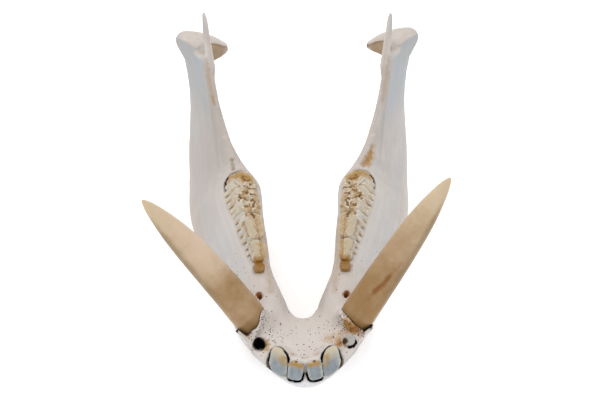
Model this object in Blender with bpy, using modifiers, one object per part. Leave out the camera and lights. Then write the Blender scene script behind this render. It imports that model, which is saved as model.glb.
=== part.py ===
"""Lower jaw of a tusked wild pig: one bone, two tusks, five front teeth and eight cheek teeth.

Lengths are in millimetres and become metres where a mesh is made. X runs across the jaw, Y from the chin
back to the jaw joints and Z up. Places are written with X counted from the bone's middle plane, and Y from
the front of the chin. The jaw stands on the underside of its chin and on its two rear corners, which all
end in the plane Z = 0. The tusks differ, so the middle of the whole is a little beside that of the bone.
"""

import math
from dataclasses import dataclass

import bmesh
import bpy
import numpy as np
from mathutils import Matrix, Vector

MM = 0.001

# Driving dimensions
MIDDLE_X = -4.5
MIDDLE_Y = 147.5
TUSK_SPAN = 233.0
TUSK_WIDTH = 27.0
TUSK_FLATNESS = 0.8
TOOTH_GAP = 0.4
INCISOR_GAP = 0.8
TOOTH_TILT = 0.40
SIDES = {"left": 1.0, "right": -1.0}

# Bone surface
VOXEL = 1.8
SMOOTHING_ROUNDS = 10
FACE_SHARE = 0.032
RING_POINTS = 20
INCISOR_POINTS = 16
GROUND_BLOCK = (400.0, 400.0, 20.0)


@dataclass(frozen=True)
class JawStation:
    """A section of a jaw half, from its upper or front edge to its lower or rear edge."""

    upper: tuple[float, float, float]
    lower: tuple[float, float, float]
    widths: tuple[float, float, float]


@dataclass(frozen=True)
class ChinStation:
    """A section across the chin, at one distance from its front."""

    y: float
    half_width: float
    rim_z: float
    dip: float
    keel_z: float
    keel_shape: float


@dataclass(frozen=True)
class Knob:
    """An oval section of a rounded bone end or of a hole: its centre and its two half widths."""

    centre: tuple[float, float, float]
    half_a: float
    half_b: float


@dataclass(frozen=True)
class Incisor:
    """A front tooth: where its crown leaves the bone, how its crown and its root lean, and its size."""

    name: str
    neck: tuple[float, float, float]
    crown_lean: tuple[float, float, float]
    root_lean: tuple[float, float, float]
    width: float
    depth: float
    crown: float
    root: float


@dataclass(frozen=True)
class CheekTooth:
    """A cheek tooth: its front and rear along the row, its widths, its height and its ridges."""

    name: str
    front: float
    rear: float
    front_width: float
    rear_width: float
    height: float
    ridges: int
    relief: float


JAW_HALF = (
    JawStation((25.5, 60.0, 43.0), (24.5, 62.0, 5.0), (30.0, 39.0, 24.0)),
    JawStation((31.3, 86.0, 57.0), (37.5, 84.0, 2.0), (26.5, 44.0, 25.0)),
    JawStation((33.8, 112.0, 61.0), (53.0, 110.0, 4.0), (25.0, 31.0, 22.0)),
    JawStation((36.9, 140.0, 61.5), (65.0, 140.0, 5.0), (31.0, 30.0, 21.0)),
    JawStation((41.3, 170.0, 62.0), (78.5, 172.0, 4.0), (37.5, 32.5, 19.0)),
    JawStation((45.1, 197.0, 64.5), (89.5, 206.0, 1.0), (45.0, 31.5, 15.0)),
    JawStation((50.3, 212.0, 72.0), (95.0, 234.0, -1.0), (22.0, 25.0, 11.0)),
    JawStation((56.0, 221.0, 84.0), (96.0, 258.0, 10.0), (12.0, 18.0, 9.0)),
    JawStation((61.5, 230.0, 99.0), (95.5, 274.0, 38.0), (9.0, 13.0, 8.0)),
    JawStation((66.5, 239.0, 118.0), (92.5, 283.0, 74.0), (7.5, 10.5, 8.0)),
    JawStation((70.0, 247.0, 138.0), (92.0, 286.0, 104.0), (7.0, 9.5, 9.0)),
    JawStation((72.5, 252.0, 149.0), (93.5, 287.0, 128.0), (7.0, 9.5, 11.0)),
    JawStation((74.0, 258.0, 153.0), (96.5, 286.0, 143.0), (6.0, 10.0, 14.0)),
)

CHIN = (
    ChinStation(-1.5, 6.5, 45.5, 0.0, 43.5, 2.0),
    ChinStation(3.0, 14.0, 48.0, 0.0, 40.5, 2.0),
    ChinStation(9.0, 22.0, 50.0, 0.0, 34.5, 2.4),
    ChinStation(18.0, 31.0, 52.0, 0.5, 26.5, 2.4),
    ChinStation(29.0, 40.5, 53.5, 2.5, 17.5, 1.9),
    ChinStation(41.0, 45.0, 54.0, 5.5, 7.5, 1.8),
    ChinStation(53.0, 46.5, 53.0, 9.5, 1.0, 2.2),
    ChinStation(65.0, 45.0, 52.0, 14.0, -1.0, 2.6),
    ChinStation(77.5, 38.0, 53.0, 20.0, 1.0, 2.6),
)

NOTCH = ((0.0, 76.5), (6.0, 78.5), (10.0, 82.0), (14.0, 87.0), (17.6, 93.0))
NOTCH_FRONT_Y = 68.0
NOTCH_FLOOR = (10.0, 0.3)
NOTCH_TOP = (33.0, 0.5)

CORONOID = (
    Knob((71.5, 257.5, 138.0), 3.8, 9.5),
    Knob((72.8, 260.0, 152.0), 3.5, 9.0),
    Knob((74.0, 262.5, 166.0), 3.1, 7.0),
    Knob((75.0, 265.0, 179.0), 2.6, 4.8),
    Knob((75.6, 266.8, 190.5), 2.0, 2.8),
)
CORONOID_STRETCH = {"left": 1.0, "right": 1.07}

CONDYLE = (
    Knob((102.0, 285.5, 150.0), 2.5, 3.5),
    Knob((98.0, 285.5, 147.5), 7.5, 8.5),
    Knob((91.5, 283.5, 142.5), 12.0, 14.5),
    Knob((84.0, 280.5, 141.5), 14.5, 15.5),
    Knob((76.0, 281.0, 141.0), 11.5, 15.0),
    Knob((68.0, 282.0, 140.5), 8.0, 12.0),
    Knob((62.0, 282.0, 141.0), 5.0, 8.5),
    Knob((57.5, 282.0, 143.0), 2.5, 4.0),
)
CONDYLE_SQUARENESS = 0.65

TUSK_ROOT_END = (33.0, 59.0, 37.0)
TUSK_NECK = (42.6, 60.0, 57.5)
TUSK_BENDS = {"left": (78.5, 87.0, 107.5), "right": (81.5, 87.0, 101.5)}
TUSK_TIPS = {
    "left": (TUSK_SPAN / 2 + MIDDLE_X, 109.5, 154.5),
    "right": (TUSK_SPAN / 2 - MIDDLE_X, 106.5, 139.5),
}
TUSK_ROOT = ((1.0, 0.80), (0.5, 0.93))
TUSK_PROFILE = ((0.0, 1.0), (0.3, 0.96), (0.54, 0.87), (0.72, 0.72), (0.87, 0.47), (0.95, 0.27), (1.0, 0.06))
SHEATH_ROOT = ((1.1, -2.0), (0.85, 1.2), (0.6, 1.8))
SHEATH_RIM = ((-7.0, 1.6), (-4.0, 0.9))
SHEATH_SLANT = 0.2

INCISORS = (
    Incisor("first_incisor", (6.8, 12.8, 48.5), (0.0, -0.6, 0.8), (0.06, -0.86, 0.5), 12.2, 16.0, 9.0, 12.0),
    Incisor("second_incisor", (20.4, 21.0, 50.0), (0.0, -0.55, 0.84), (0.2, -0.8, 0.5), 15.0, 18.5, 8.5, 12.0),
    Incisor("third_incisor", (34.0, 38.0, 52.5), (0.3, -0.25, 0.92), (0.1, -0.15, 0.98), 9.5, 9.0, 4.5, 9.0),
)
INCISOR_ARCH_Y = 60.0
MISSING_INCISOR = ("third_incisor", "right")
SOCKET_DEPTH = 13.0
SOCKET_REACH = 3.0

CHEEK_TEETH = (
    CheekTooth("premolar", 101.0, 109.5, 7.5, 8.5, 2.5, 1, 0.6),
    CheekTooth("first_molar", 110.1, 130.4, 9.5, 13.5, 6.5, 2, 0.7),
    CheekTooth("second_molar", 131.0, 161.2, 14.0, 19.5, 8.0, 3, 0.8),
    CheekTooth("third_molar", 161.8, 209.0, 20.5, 23.5, 8.5, 5, 1.4),
)
ROW_CENTRES = (
    (99.0, 33.5),
    (112.0, 35.2),
    (132.0, 38.4),
    (148.0, 41.4),
    (163.0, 44.4),
    (180.0, 47.8),
    (210.0, 52.4),
)
ROW_MARGIN_Z = 62.0
CHEEK_ROOT = 9.0

FORAMEN = (32.0, 81.0, 60.0)
FORAMEN_RADIUS = 2.8
FORAMEN_DEPTH = 10.0

BONE = ("bone", (0.83, 0.79, 0.74, 1.0), 0.62)
IVORY = ("tusk_ivory", (0.76, 0.62, 0.44, 1.0), 0.32)
ENAMEL = ("tooth_enamel", (0.78, 0.76, 0.70, 1.0), 0.35)
CHEEK_ENAMEL = ("cheek_tooth_enamel", (0.78, 0.70, 0.55, 1.0), 0.40)


def place(point, side=1.0):
    """A point of the model, in metres, from one that is given for the left side of the jaw."""
    x, y, z = point
    return Vector((side * x - MIDDLE_X, y - MIDDLE_Y, z)) * MM


def between(rows, steps):
    """Rows on a Catmull-Rom curve through the given rows, with this many steps for each gap."""
    rows = np.array(rows, float)
    rows = np.vstack([2 * rows[0] - rows[1], rows, 2 * rows[-1] - rows[-2]])
    found = []
    for gap in range(len(rows) - 3):
        before, start, end, after = rows[gap : gap + 4]
        for step in range(steps):
            t = step / steps
            linear = (end - before) * t
            square = (2 * before - 5 * start + 4 * end - after) * t**2
            cube = (3 * start - before - 3 * end + after) * t**3
            found.append(start + (linear + square + cube) / 2)
    found.append(rows[-2])
    return found


def add_loft(mesh, rings):
    """Adds a closed body to the mesh: rings of points joined by quads, with both ends capped."""
    loops = [[mesh.verts.new(point) for point in ring] for ring in rings]
    faces = [mesh.faces.new(loops[0]), mesh.faces.new(loops[-1])]
    for near, far in zip(loops, loops[1:]):
        for i in range(len(near)):
            j = (i + 1) % len(near)
            faces.append(mesh.faces.new((near[i], near[j], far[j], far[i])))
    bmesh.ops.recalc_face_normals(mesh, faces=faces)


def oval(centre, axis_a, axis_b, squareness=1.0, count=RING_POINTS):
    """A ring of points round a centre. A squareness under 1 makes the oval fuller."""
    ring = []
    for step in range(count):
        angle = 2 * math.pi * step / count
        a = math.copysign(abs(math.cos(angle)) ** squareness, math.cos(angle))
        b = math.copysign(abs(math.sin(angle)) ** squareness, math.sin(angle))
        ring.append(centre + axis_a * a + axis_b * b)
    return ring


def new_object(name, mesh, collection, finish=None):
    """An object made of a finished bmesh, with its own material."""
    data = bpy.data.meshes.new(name)
    mesh.to_mesh(data)
    mesh.free()
    item = bpy.data.objects.new(name, data)
    collection.objects.link(item)
    if finish is None:
        item.hide_render = True
        item.display_type = "WIRE"
        return item
    data.shade_smooth()
    data.materials.append(material(name, finish))
    return item


def material(name, finish):
    """A Principled material of the given finish for one object."""
    label, colour, roughness = finish
    made = bpy.data.materials.new(f"{label}_{name}")
    made.use_nodes = True
    shader = made.node_tree.nodes["Principled BSDF"]
    shader.inputs["Base Color"].default_value = colour
    shader.inputs["Roughness"].default_value = roughness
    shader.inputs["Metallic"].default_value = 0.0
    return made


def add_jaw_half(mesh, side):
    """The body of one jaw half, which turns up behind the teeth into a thin upright blade."""
    rows = between([(*s.upper, *s.lower, *s.widths) for s in JAW_HALF], 4)
    uppers = [place(row[0:3], side) for row in rows]
    lowers = [place(row[3:6], side) for row in rows]
    middles = [(upper + lower) / 2 for upper, lower in zip(uppers, lowers)]
    rings = []
    for i, row in enumerate(rows):
        along = middles[min(i + 1, len(rows) - 1)] - middles[max(i - 1, 0)]
        across = (lowers[i] - uppers[i]).cross(along)
        across.z = 0.0
        across.normalize()
        rings.append(jaw_ring(uppers[i], lowers[i], across, row[6:9] * MM))
    add_loft(mesh, rings)


def jaw_ring(upper, lower, across, widths):
    """A long rounded section between two edges, with its width at the top, middle and bottom."""
    ring = []
    for step in range(RING_POINTS):
        angle = 2 * math.pi * step / RING_POINTS
        depth = (1 - math.cos(angle)) / 2
        ends = widths[0] * (1 - depth) * (1 - 2 * depth) + widths[2] * depth * (2 * depth - 1)
        width = ends + widths[1] * 4 * depth * (1 - depth)
        offset = math.copysign(abs(math.sin(angle)) ** 0.45, math.sin(angle)) * width / 2
        ring.append(upper.lerp(lower, depth) + across * offset)
    return ring


def add_chin(mesh):
    """The joined front of the jaw: a shelf that dips to the rear, over a keel that slopes to the front."""
    fields = [(s.y, s.half_width, s.rim_z, s.dip, s.keel_z, s.keel_shape) for s in CHIN]
    rings = []
    for y, half_width, rim_z, dip, keel_z, shape in between(fields, 2):
        top = []
        bottom = []
        for step in range(RING_POINTS // 2 + 1):
            s = -math.cos(math.pi * step / (RING_POINTS // 2))
            top.append(place((half_width * s, y, rim_z - dip * (1 - s * s))))
            side_z = rim_z - 3.0
            bottom.append(place((half_width * s, y, keel_z + (side_z - keel_z) * abs(s) ** shape)))
        rings.append(top + bottom[::-1])
    add_loft(mesh, rings)


def add_notch(mesh):
    """The web behind the chin that rounds off the corner where both jaw halves meet."""
    edge = [(-x, y) for x, y in NOTCH[:0:-1]] + list(NOTCH)
    last = NOTCH[-1][0]
    outline = edge + [(last, NOTCH_FRONT_Y), (-last, NOTCH_FRONT_Y)]
    middle_y = NOTCH[0][1]
    floor_z, floor_reach = NOTCH_FLOOR
    top_z, top_rise = NOTCH_TOP
    low = [place((x, min(y, middle_y + (y - middle_y) * floor_reach), floor_z)) for x, y in outline]
    high = [place((x, y, top_z + top_rise * abs(x))) for x, y in outline]
    add_loft(mesh, [low, high])


def stretched_coronoid(side_name):
    """The sections of a side's coronoid process, which is a little taller on the right."""
    base = CORONOID[0].centre[2]
    made = []
    for knob in CORONOID:
        x, y, z = knob.centre
        height = base + (z - base) * CORONOID_STRETCH[side_name]
        made.append(Knob((x, y, height), knob.half_a, knob.half_b))
    return made


def add_knobs(mesh, knobs, side, axis_a, axis_b, steps=3, squareness=0.9):
    """A rounded bone end through a row of oval sections."""
    rings = []
    for row in between([(*k.centre, k.half_a, k.half_b) for k in knobs], steps):
        centre = place(row[0:3], side)
        rings.append(oval(centre, Vector(axis_a) * row[3] * MM, Vector(axis_b) * row[4] * MM, squareness))
    add_loft(mesh, rings)


def tusk_frame(side_name):
    """The tusk's curve and the two directions across it."""
    side = SIDES[side_name]
    neck = place(TUSK_NECK, side)
    bend = place(TUSK_BENDS[side_name], side)
    tip = place(TUSK_TIPS[side_name], side)
    chord = (tip - neck).normalized()
    flat = chord.cross(Vector((0.0, 1.0, -1.0))).normalized()
    deep = chord.cross(flat).normalized()
    return neck, bend, tip, flat, deep


def tusk_section(centre, flat, deep, half):
    """One oval section of a tusk, whose half width is in millimetres."""
    return oval(centre, flat * half * MM, deep * (TUSK_FLATNESS * half) * MM, 0.9)


def tusk_rings(side_name, growth):
    """Sections of a tusk, or of the room it needs, from the end of its root to its tip."""
    neck, bend, tip, flat, deep = tusk_frame(side_name)
    root_end = place(TUSK_ROOT_END, SIDES[side_name])
    half = TUSK_WIDTH / 2
    rings = []
    for depth, width in TUSK_ROOT:
        centre = neck.lerp(root_end, depth) - Vector((0.0, 0.0, growth * depth * MM))
        rings.append(tusk_section(centre, flat, deep, half * width + growth))
    for share, width in between(TUSK_PROFILE, 2):
        centre = neck * (1 - share) ** 2 + bend * 2 * share * (1 - share) + tip * share**2
        rings.append(tusk_section(centre, flat, deep, half * width + growth))
    return rings


def add_tusk_sheath(mesh, side_name):
    """The bulge of bone that holds the root of a tusk, with a rim that is lower towards the front."""
    side = SIDES[side_name]
    neck, bend, _, flat, deep = tusk_frame(side_name)
    root_end = place(TUSK_ROOT_END, side)
    along = (bend - neck).normalized()
    slanted = flat + along * SHEATH_SLANT * side
    half = TUSK_WIDTH / 2
    rings = []
    for depth, wall in SHEATH_ROOT:
        rings.append(tusk_section(neck.lerp(root_end, depth), flat, deep, half + wall))
    for rise, wall in SHEATH_RIM:
        rings.append(tusk_section(neck + along * rise * MM, slanted, deep, half + wall))
    add_loft(mesh, rings)


def make_mandible(collection, cutters):
    """The one bone: all its bodies grown together and smoothed, then cut for the teeth."""
    mesh = bmesh.new()
    for side_name, side in SIDES.items():
        add_jaw_half(mesh, side)
        add_knobs(mesh, stretched_coronoid(side_name), side, (1.0, 0.0, 0.0), (0.12 * side, 1.0, 0.0))
        add_knobs(mesh, CONDYLE, side, (0.0, 1.0, 0.0), (0.0, 0.0, 1.0), 3, CONDYLE_SQUARENESS)
        add_tusk_sheath(mesh, side_name)
    add_chin(mesh)
    add_notch(mesh)
    bone = new_object("mandible", mesh, collection, BONE)
    grow = bone.modifiers.new("grow together", "REMESH")
    grow.mode = "VOXEL"
    grow.voxel_size = VOXEL * MM
    grow.use_smooth_shade = True
    smooth = bone.modifiers.new("smooth", "SMOOTH")
    smooth.factor = 0.5
    smooth.iterations = SMOOTHING_ROUNDS
    fewer = bone.modifiers.new("fewer faces", "DECIMATE")
    fewer.ratio = FACE_SHARE
    for cutter in (make_ground_cutter(cutters), *make_socket_cutters(cutters)):
        cut = bone.modifiers.new(cutter.name, "BOOLEAN")
        cut.operation = "DIFFERENCE"
        cut.object = cutter
    return bone


def make_ground_cutter(cutters):
    """A block below Z = 0, which leaves small flat places for the jaw to stand on."""
    mesh = bmesh.new()
    size = Vector(GROUND_BLOCK) * MM
    bmesh.ops.create_cube(mesh, size=1.0, matrix=Matrix.Diagonal((*size, 1.0)))
    bmesh.ops.translate(mesh, verts=mesh.verts, vec=(0.0, 0.0, -size.z / 2))
    return new_object("ground_cutter", mesh, cutters)


def make_socket_cutters(cutters):
    """One cutter for each tooth, a little larger than the tooth, and one for each nerve hole."""
    found = []
    for side_name, side in SIDES.items():
        found.append(new_loft(f"tusk_socket_{side_name}", tusk_rings(side_name, TOOTH_GAP), cutters))
        for tooth in INCISORS:
            rings = incisor_rings(tooth, side_name, INCISOR_GAP)
            found.append(new_loft(f"{tooth.name}_socket_{side_name}", rings, cutters))
        for tooth in CHEEK_TEETH:
            rings = cheek_rings(tooth, side, TOOTH_GAP)
            found.append(new_loft(f"{tooth.name}_socket_{side_name}", rings, cutters))
        mesh = bmesh.new()
        add_knobs(mesh, foramen_knobs(), side, (1.0, 0.0, 0.0), (0.0, 1.0, 0.0), 1)
        found.append(new_object(f"nerve_hole_{side_name}", mesh, cutters))
    return found


def new_loft(name, rings, collection, finish=None):
    """An object made of one closed loft through the rings."""
    mesh = bmesh.new()
    add_loft(mesh, rings)
    return new_object(name, mesh, collection, finish)


def foramen_knobs():
    """A short upright hole through the bone's upper face."""
    x, y, z = FORAMEN
    low = Knob((x, y, z - FORAMEN_DEPTH), FORAMEN_RADIUS * 0.6, FORAMEN_RADIUS * 0.6)
    high = Knob((x, y, z + FORAMEN_DEPTH), FORAMEN_RADIUS, FORAMEN_RADIUS)
    return (low, high)


def incisor_rings(tooth, side_name, growth):
    """Sections of a front tooth from the end of its root to its worn crown, or of the room it needs."""
    side = SIDES[side_name]
    neck = place(tooth.neck, side)
    empty = (tooth.name, side_name) == MISSING_INCISOR
    root = SOCKET_DEPTH if empty else tooth.root
    crown = tooth.crown * (SOCKET_REACH if growth else 1.0)
    crown_lean = leaning(tooth.crown_lean, side)
    root_lean = leaning(tooth.root_lean, side)
    outward = Vector((side * tooth.neck[0], tooth.neck[1] - INCISOR_ARCH_Y, 0.0))
    sections = (
        (-root - growth, root_lean, 0.58, 0.48),
        (-root * 0.5, root_lean, 0.80, 0.68),
        (0.0, (crown_lean + root_lean).normalized(), 0.97, 0.88),
        (crown * 0.55, crown_lean, 1.02, 0.98),
        (crown * 0.9, crown_lean, 0.94, 0.84),
        (crown, crown_lean, 0.74, 0.60),
    )
    rings = []
    for height, lean, wide, deep in sections:
        across = lean.cross(outward).normalized()
        front = across.cross(lean)
        axis_a = across * (tooth.width / 2 * wide + growth) * MM
        axis_b = front * (tooth.depth / 2 * deep + growth) * MM
        rings.append(oval(neck + lean * height * MM, axis_a, axis_b, 0.75, INCISOR_POINTS))
    return rings


def leaning(direction, side):
    """A unit direction on either side, from one that is given for the left side."""
    x, y, z = direction
    return Vector((side * x, y, z)).normalized()


def row_centre(y):
    """How far the middle of the tooth row is from the bone's middle plane, at one distance from the chin."""
    ys, xs = zip(*ROW_CENTRES)
    return float(np.interp(y, ys, xs))


def cheek_rings(tooth, side, growth):
    """Sections of a cheek tooth from its root up, ending in rings that close over the worn crown."""
    height = tooth.height * (SOCKET_REACH if growth else 1.0)
    levels = ((-CHEEK_ROOT - growth, 0.86), (0.0, 1.0), (height * 0.6, 0.97), (height * 0.93, 0.88))
    rings = [cheek_ring(tooth, side, growth, level, scale) for level, scale in levels]
    if not growth:
        for scale in (0.72, 0.46, 0.18):
            rings.append(cheek_ring(tooth, side, growth, height, scale, top=True))
    return rings


def cheek_ring(tooth, side, growth, height, scale, top=False):
    """One section of a cheek tooth, with a swelling at each of its ridges."""
    count = 8 + 4 * tooth.ridges
    length = (tooth.rear - tooth.front) / 2
    middle = (tooth.rear + tooth.front) / 2
    ring = []
    for step in range(count):
        angle = 2 * math.pi * step / count
        along = math.copysign(abs(math.cos(angle)) ** 0.6, math.cos(angle))
        across = math.copysign(abs(math.sin(angle)) ** 0.6, math.sin(angle))
        y = middle + along * (length * scale + growth)
        share = (along + 1) / 2
        half = (tooth.front_width + (tooth.rear_width - tooth.front_width) * share) / 2
        swelling = 1 + 0.045 * math.cos(2 * math.pi * (share * tooth.ridges - 0.5))
        x = row_centre(y) - height * TOOTH_TILT + across * (half * scale * swelling + growth)
        z = ROW_MARGIN_Z + height
        if top:
            z += tooth.relief * math.cos(2 * math.pi * (share * tooth.ridges - 0.5)) * (1 - 0.4 * scale)
        ring.append(place((x, y, z), side))
    return ring


def make_teeth(collection):
    """Every tooth as its own body, standing in its socket."""
    for side_name, side in SIDES.items():
        new_loft(f"tusk_{side_name}", tusk_rings(side_name, 0.0), collection, IVORY)
        for tooth in INCISORS:
            if (tooth.name, side_name) != MISSING_INCISOR:
                rings = incisor_rings(tooth, side_name, 0.0)
                new_loft(f"{tooth.name}_{side_name}", rings, collection, ENAMEL)
        for tooth in CHEEK_TEETH:
            rings = cheek_rings(tooth, side, 0.0)
            new_loft(f"{tooth.name}_{side_name}", rings, collection, CHEEK_ENAMEL)


def clear_scene():
    """Removes what the startup scene holds."""
    for item in list(bpy.data.objects):
        bpy.data.objects.remove(item, do_unlink=True)


def main():
    clear_scene()
    jaw = bpy.data.collections.new("tusked pig lower jaw")
    cutters = bpy.data.collections.new("cutters")
    bpy.context.scene.collection.children.link(jaw)
    bpy.context.scene.collection.children.link(cutters)
    make_mandible(jaw, cutters)
    make_teeth(jaw)


if __name__ == "__main__":
    main()
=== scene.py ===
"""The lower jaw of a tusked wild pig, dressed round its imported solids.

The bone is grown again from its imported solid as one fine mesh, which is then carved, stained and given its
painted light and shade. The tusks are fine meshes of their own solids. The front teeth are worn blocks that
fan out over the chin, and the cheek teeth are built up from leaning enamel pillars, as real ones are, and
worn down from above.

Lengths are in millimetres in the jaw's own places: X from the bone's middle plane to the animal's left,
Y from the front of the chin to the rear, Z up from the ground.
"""

import itertools
import logging
import math
from collections.abc import Callable
from dataclasses import dataclass, field
from enum import Enum
from functools import cached_property

import bmesh
import bpy
import numpy as np
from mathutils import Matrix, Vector
from mathutils.bvhtree import BVHTree

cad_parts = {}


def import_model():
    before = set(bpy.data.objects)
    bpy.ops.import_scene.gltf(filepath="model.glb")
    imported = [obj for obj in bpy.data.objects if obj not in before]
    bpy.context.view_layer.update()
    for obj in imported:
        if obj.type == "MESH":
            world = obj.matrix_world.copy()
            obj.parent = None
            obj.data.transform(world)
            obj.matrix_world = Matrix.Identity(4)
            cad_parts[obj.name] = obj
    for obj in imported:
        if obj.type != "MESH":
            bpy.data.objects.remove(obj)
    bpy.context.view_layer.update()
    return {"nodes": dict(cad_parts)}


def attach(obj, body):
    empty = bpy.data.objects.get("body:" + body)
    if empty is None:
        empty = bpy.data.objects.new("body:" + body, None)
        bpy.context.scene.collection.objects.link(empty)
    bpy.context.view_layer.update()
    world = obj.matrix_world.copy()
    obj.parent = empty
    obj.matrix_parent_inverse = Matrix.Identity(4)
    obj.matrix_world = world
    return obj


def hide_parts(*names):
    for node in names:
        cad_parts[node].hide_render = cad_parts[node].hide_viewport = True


LOG = logging.getLogger("jaw")
MM = 0.001
MIDDLE_X = 4.5
CHIN_Y = -147.5
JAW_ORIGIN = (MIDDLE_X, CHIN_Y, 0.0)
WELD = 0.01

Point = tuple[float, float, float]
Array = np.ndarray
Nodes = dict[str, bpy.types.Object]


class Slot(Enum):
    """The record's names for the finishes."""

    BONE = "bone"
    IVORY = "tusk_ivory"
    INCISOR = "incisor_enamel"
    CHEEK = "cheek_tooth_enamel"


class Side(Enum):
    """The animal's own sides. Its left is at positive X."""

    LEFT = 1
    RIGHT = -1

    @property
    def label(self) -> str:
        """The side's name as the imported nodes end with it."""
        return self.name.lower()


def jaw_point(x: float, y: float, z: float) -> Vector:
    """A point of the frame, in metres, from one in the jaw's millimetres."""
    return Vector((x + MIDDLE_X, y + CHIN_Y, z)) * MM


def unit(vector: Array) -> Array:
    """The same direction with a length of 1."""
    return vector / np.linalg.norm(vector)


def smooth_step(values: Array, low: float, high: float) -> Array:
    """A soft rise from 0 at low to 1 at high.

    Args:
        values: The numbers to ramp.
        low: Where the rise starts.
        high: Where it ends; below low, the ramp falls.

    Returns:
        One number from 0 to 1 for each value.
    """
    share = np.clip((values - low) / (high - low), 0.0, 1.0)
    return share * share * (3.0 - 2.0 * share)


def lattice_noise(places: Array, size: float, seed: int = 0) -> Array:
    """Smooth noise in space.

    Args:
        places: Points, one a row.
        size: The size of its lumps, in the points' unit.
        seed: Picks another field of the same kind.

    Returns:
        One number from about -1 to 1 for each point.
    """
    scaled = places / size + 100.0
    cell = np.floor(scaled).astype(np.int64)
    part = scaled - cell
    part = part * part * (3.0 - 2.0 * part)
    total = np.zeros(len(places))
    for corner in itertools.product((0, 1), repeat=3):
        at = cell + corner
        mixed = (at[:, 0] * 73856093) ^ (at[:, 1] * 19349663) ^ (at[:, 2] * 83492791) ^ (seed * 2654435 + 7)
        mixed = (mixed * 1103515245 + 12345) & 0x7FFFFFFF
        mixed = ((mixed >> 9) * 1664525 + mixed) & 0x7FFFFFFF
        weight = np.prod(np.where(corner, part, 1.0 - part), axis=1)
        total += weight * (mixed / 0x3FFFFFFF - 1.0)
    return total


def linear(code: str) -> tuple[float, float, float, float]:
    """A linear colour with full alpha.

    Args:
        code: An sRGB hex code such as c8b99a.

    Returns:
        Red, green, blue and alpha.
    """
    shares = [int(code[i : i + 2], 16) / 255 for i in (0, 2, 4)]
    red, green, blue = [s / 12.92 if s <= 0.04045 else ((s + 0.055) / 1.055) ** 2.4 for s in shares]
    return red, green, blue, 1.0


def per_metre(size: float) -> float:
    """The scale of a texture whose features are this many millimetres apart."""
    return 1.0 / (size * MM)


@dataclass(frozen=True)
class Stroke:
    """A mark along a line on the surface, which is carved, raised or painted."""

    points: tuple[Point, ...]
    width: float
    amount: float
    ragged: float = 0.3

    def weight(self, places: Array, seed: int = 0) -> Array:
        """How strongly the mark covers each place.

        Args:
            places: Points in the jaw's millimetres.
            seed: Picks the noise that makes its edge ragged.

        Returns:
            The amount in the middle of the line, and 0 beyond its width.
        """
        nearest = np.full(len(places), 1e9)
        ends = np.array(self.points, float)
        if len(ends) == 1:
            nearest = np.linalg.norm(places - ends[0], axis=1)
        for start, end in zip(ends, ends[1:]):
            along = end - start
            share = np.clip((places - start) @ along / (along @ along), 0.0, 1.0)
            gap = np.linalg.norm(places - start - share[:, None] * along, axis=1)
            nearest = np.minimum(nearest, gap)
        near = nearest < self.width * 2.0
        found = np.zeros(len(places))
        reach = nearest[near] / self.width
        reach = reach * (1.0 + self.ragged * lattice_noise(places[near], self.width * 0.8, seed))
        found[near] = np.clip(1.0 - reach * reach, 0.0, 1.0) ** 2 * self.amount
        return found

    def mirrored(self) -> "Stroke":
        """The same mark on the other half of the jaw."""
        return Stroke(tuple((-x, y, z) for x, y, z in self.points), self.width, self.amount, self.ragged)


def total(strokes: tuple[Stroke, ...], places: Array, seed: int, both: bool = False) -> Array:
    """The sum of some marks at each place.

    Args:
        strokes: The marks.
        places: Points in the jaw's millimetres.
        seed: Picks the noise that makes their edges ragged.
        both: Whether the marks are on both halves of the jaw.

    Returns:
        One number for each place.
    """
    found = np.zeros(len(places))
    for i, stroke in enumerate(strokes):
        found += stroke.weight(places, seed + i)
        if both:
            found += stroke.mirrored().weight(places, seed + i + 50)
    return found


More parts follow.
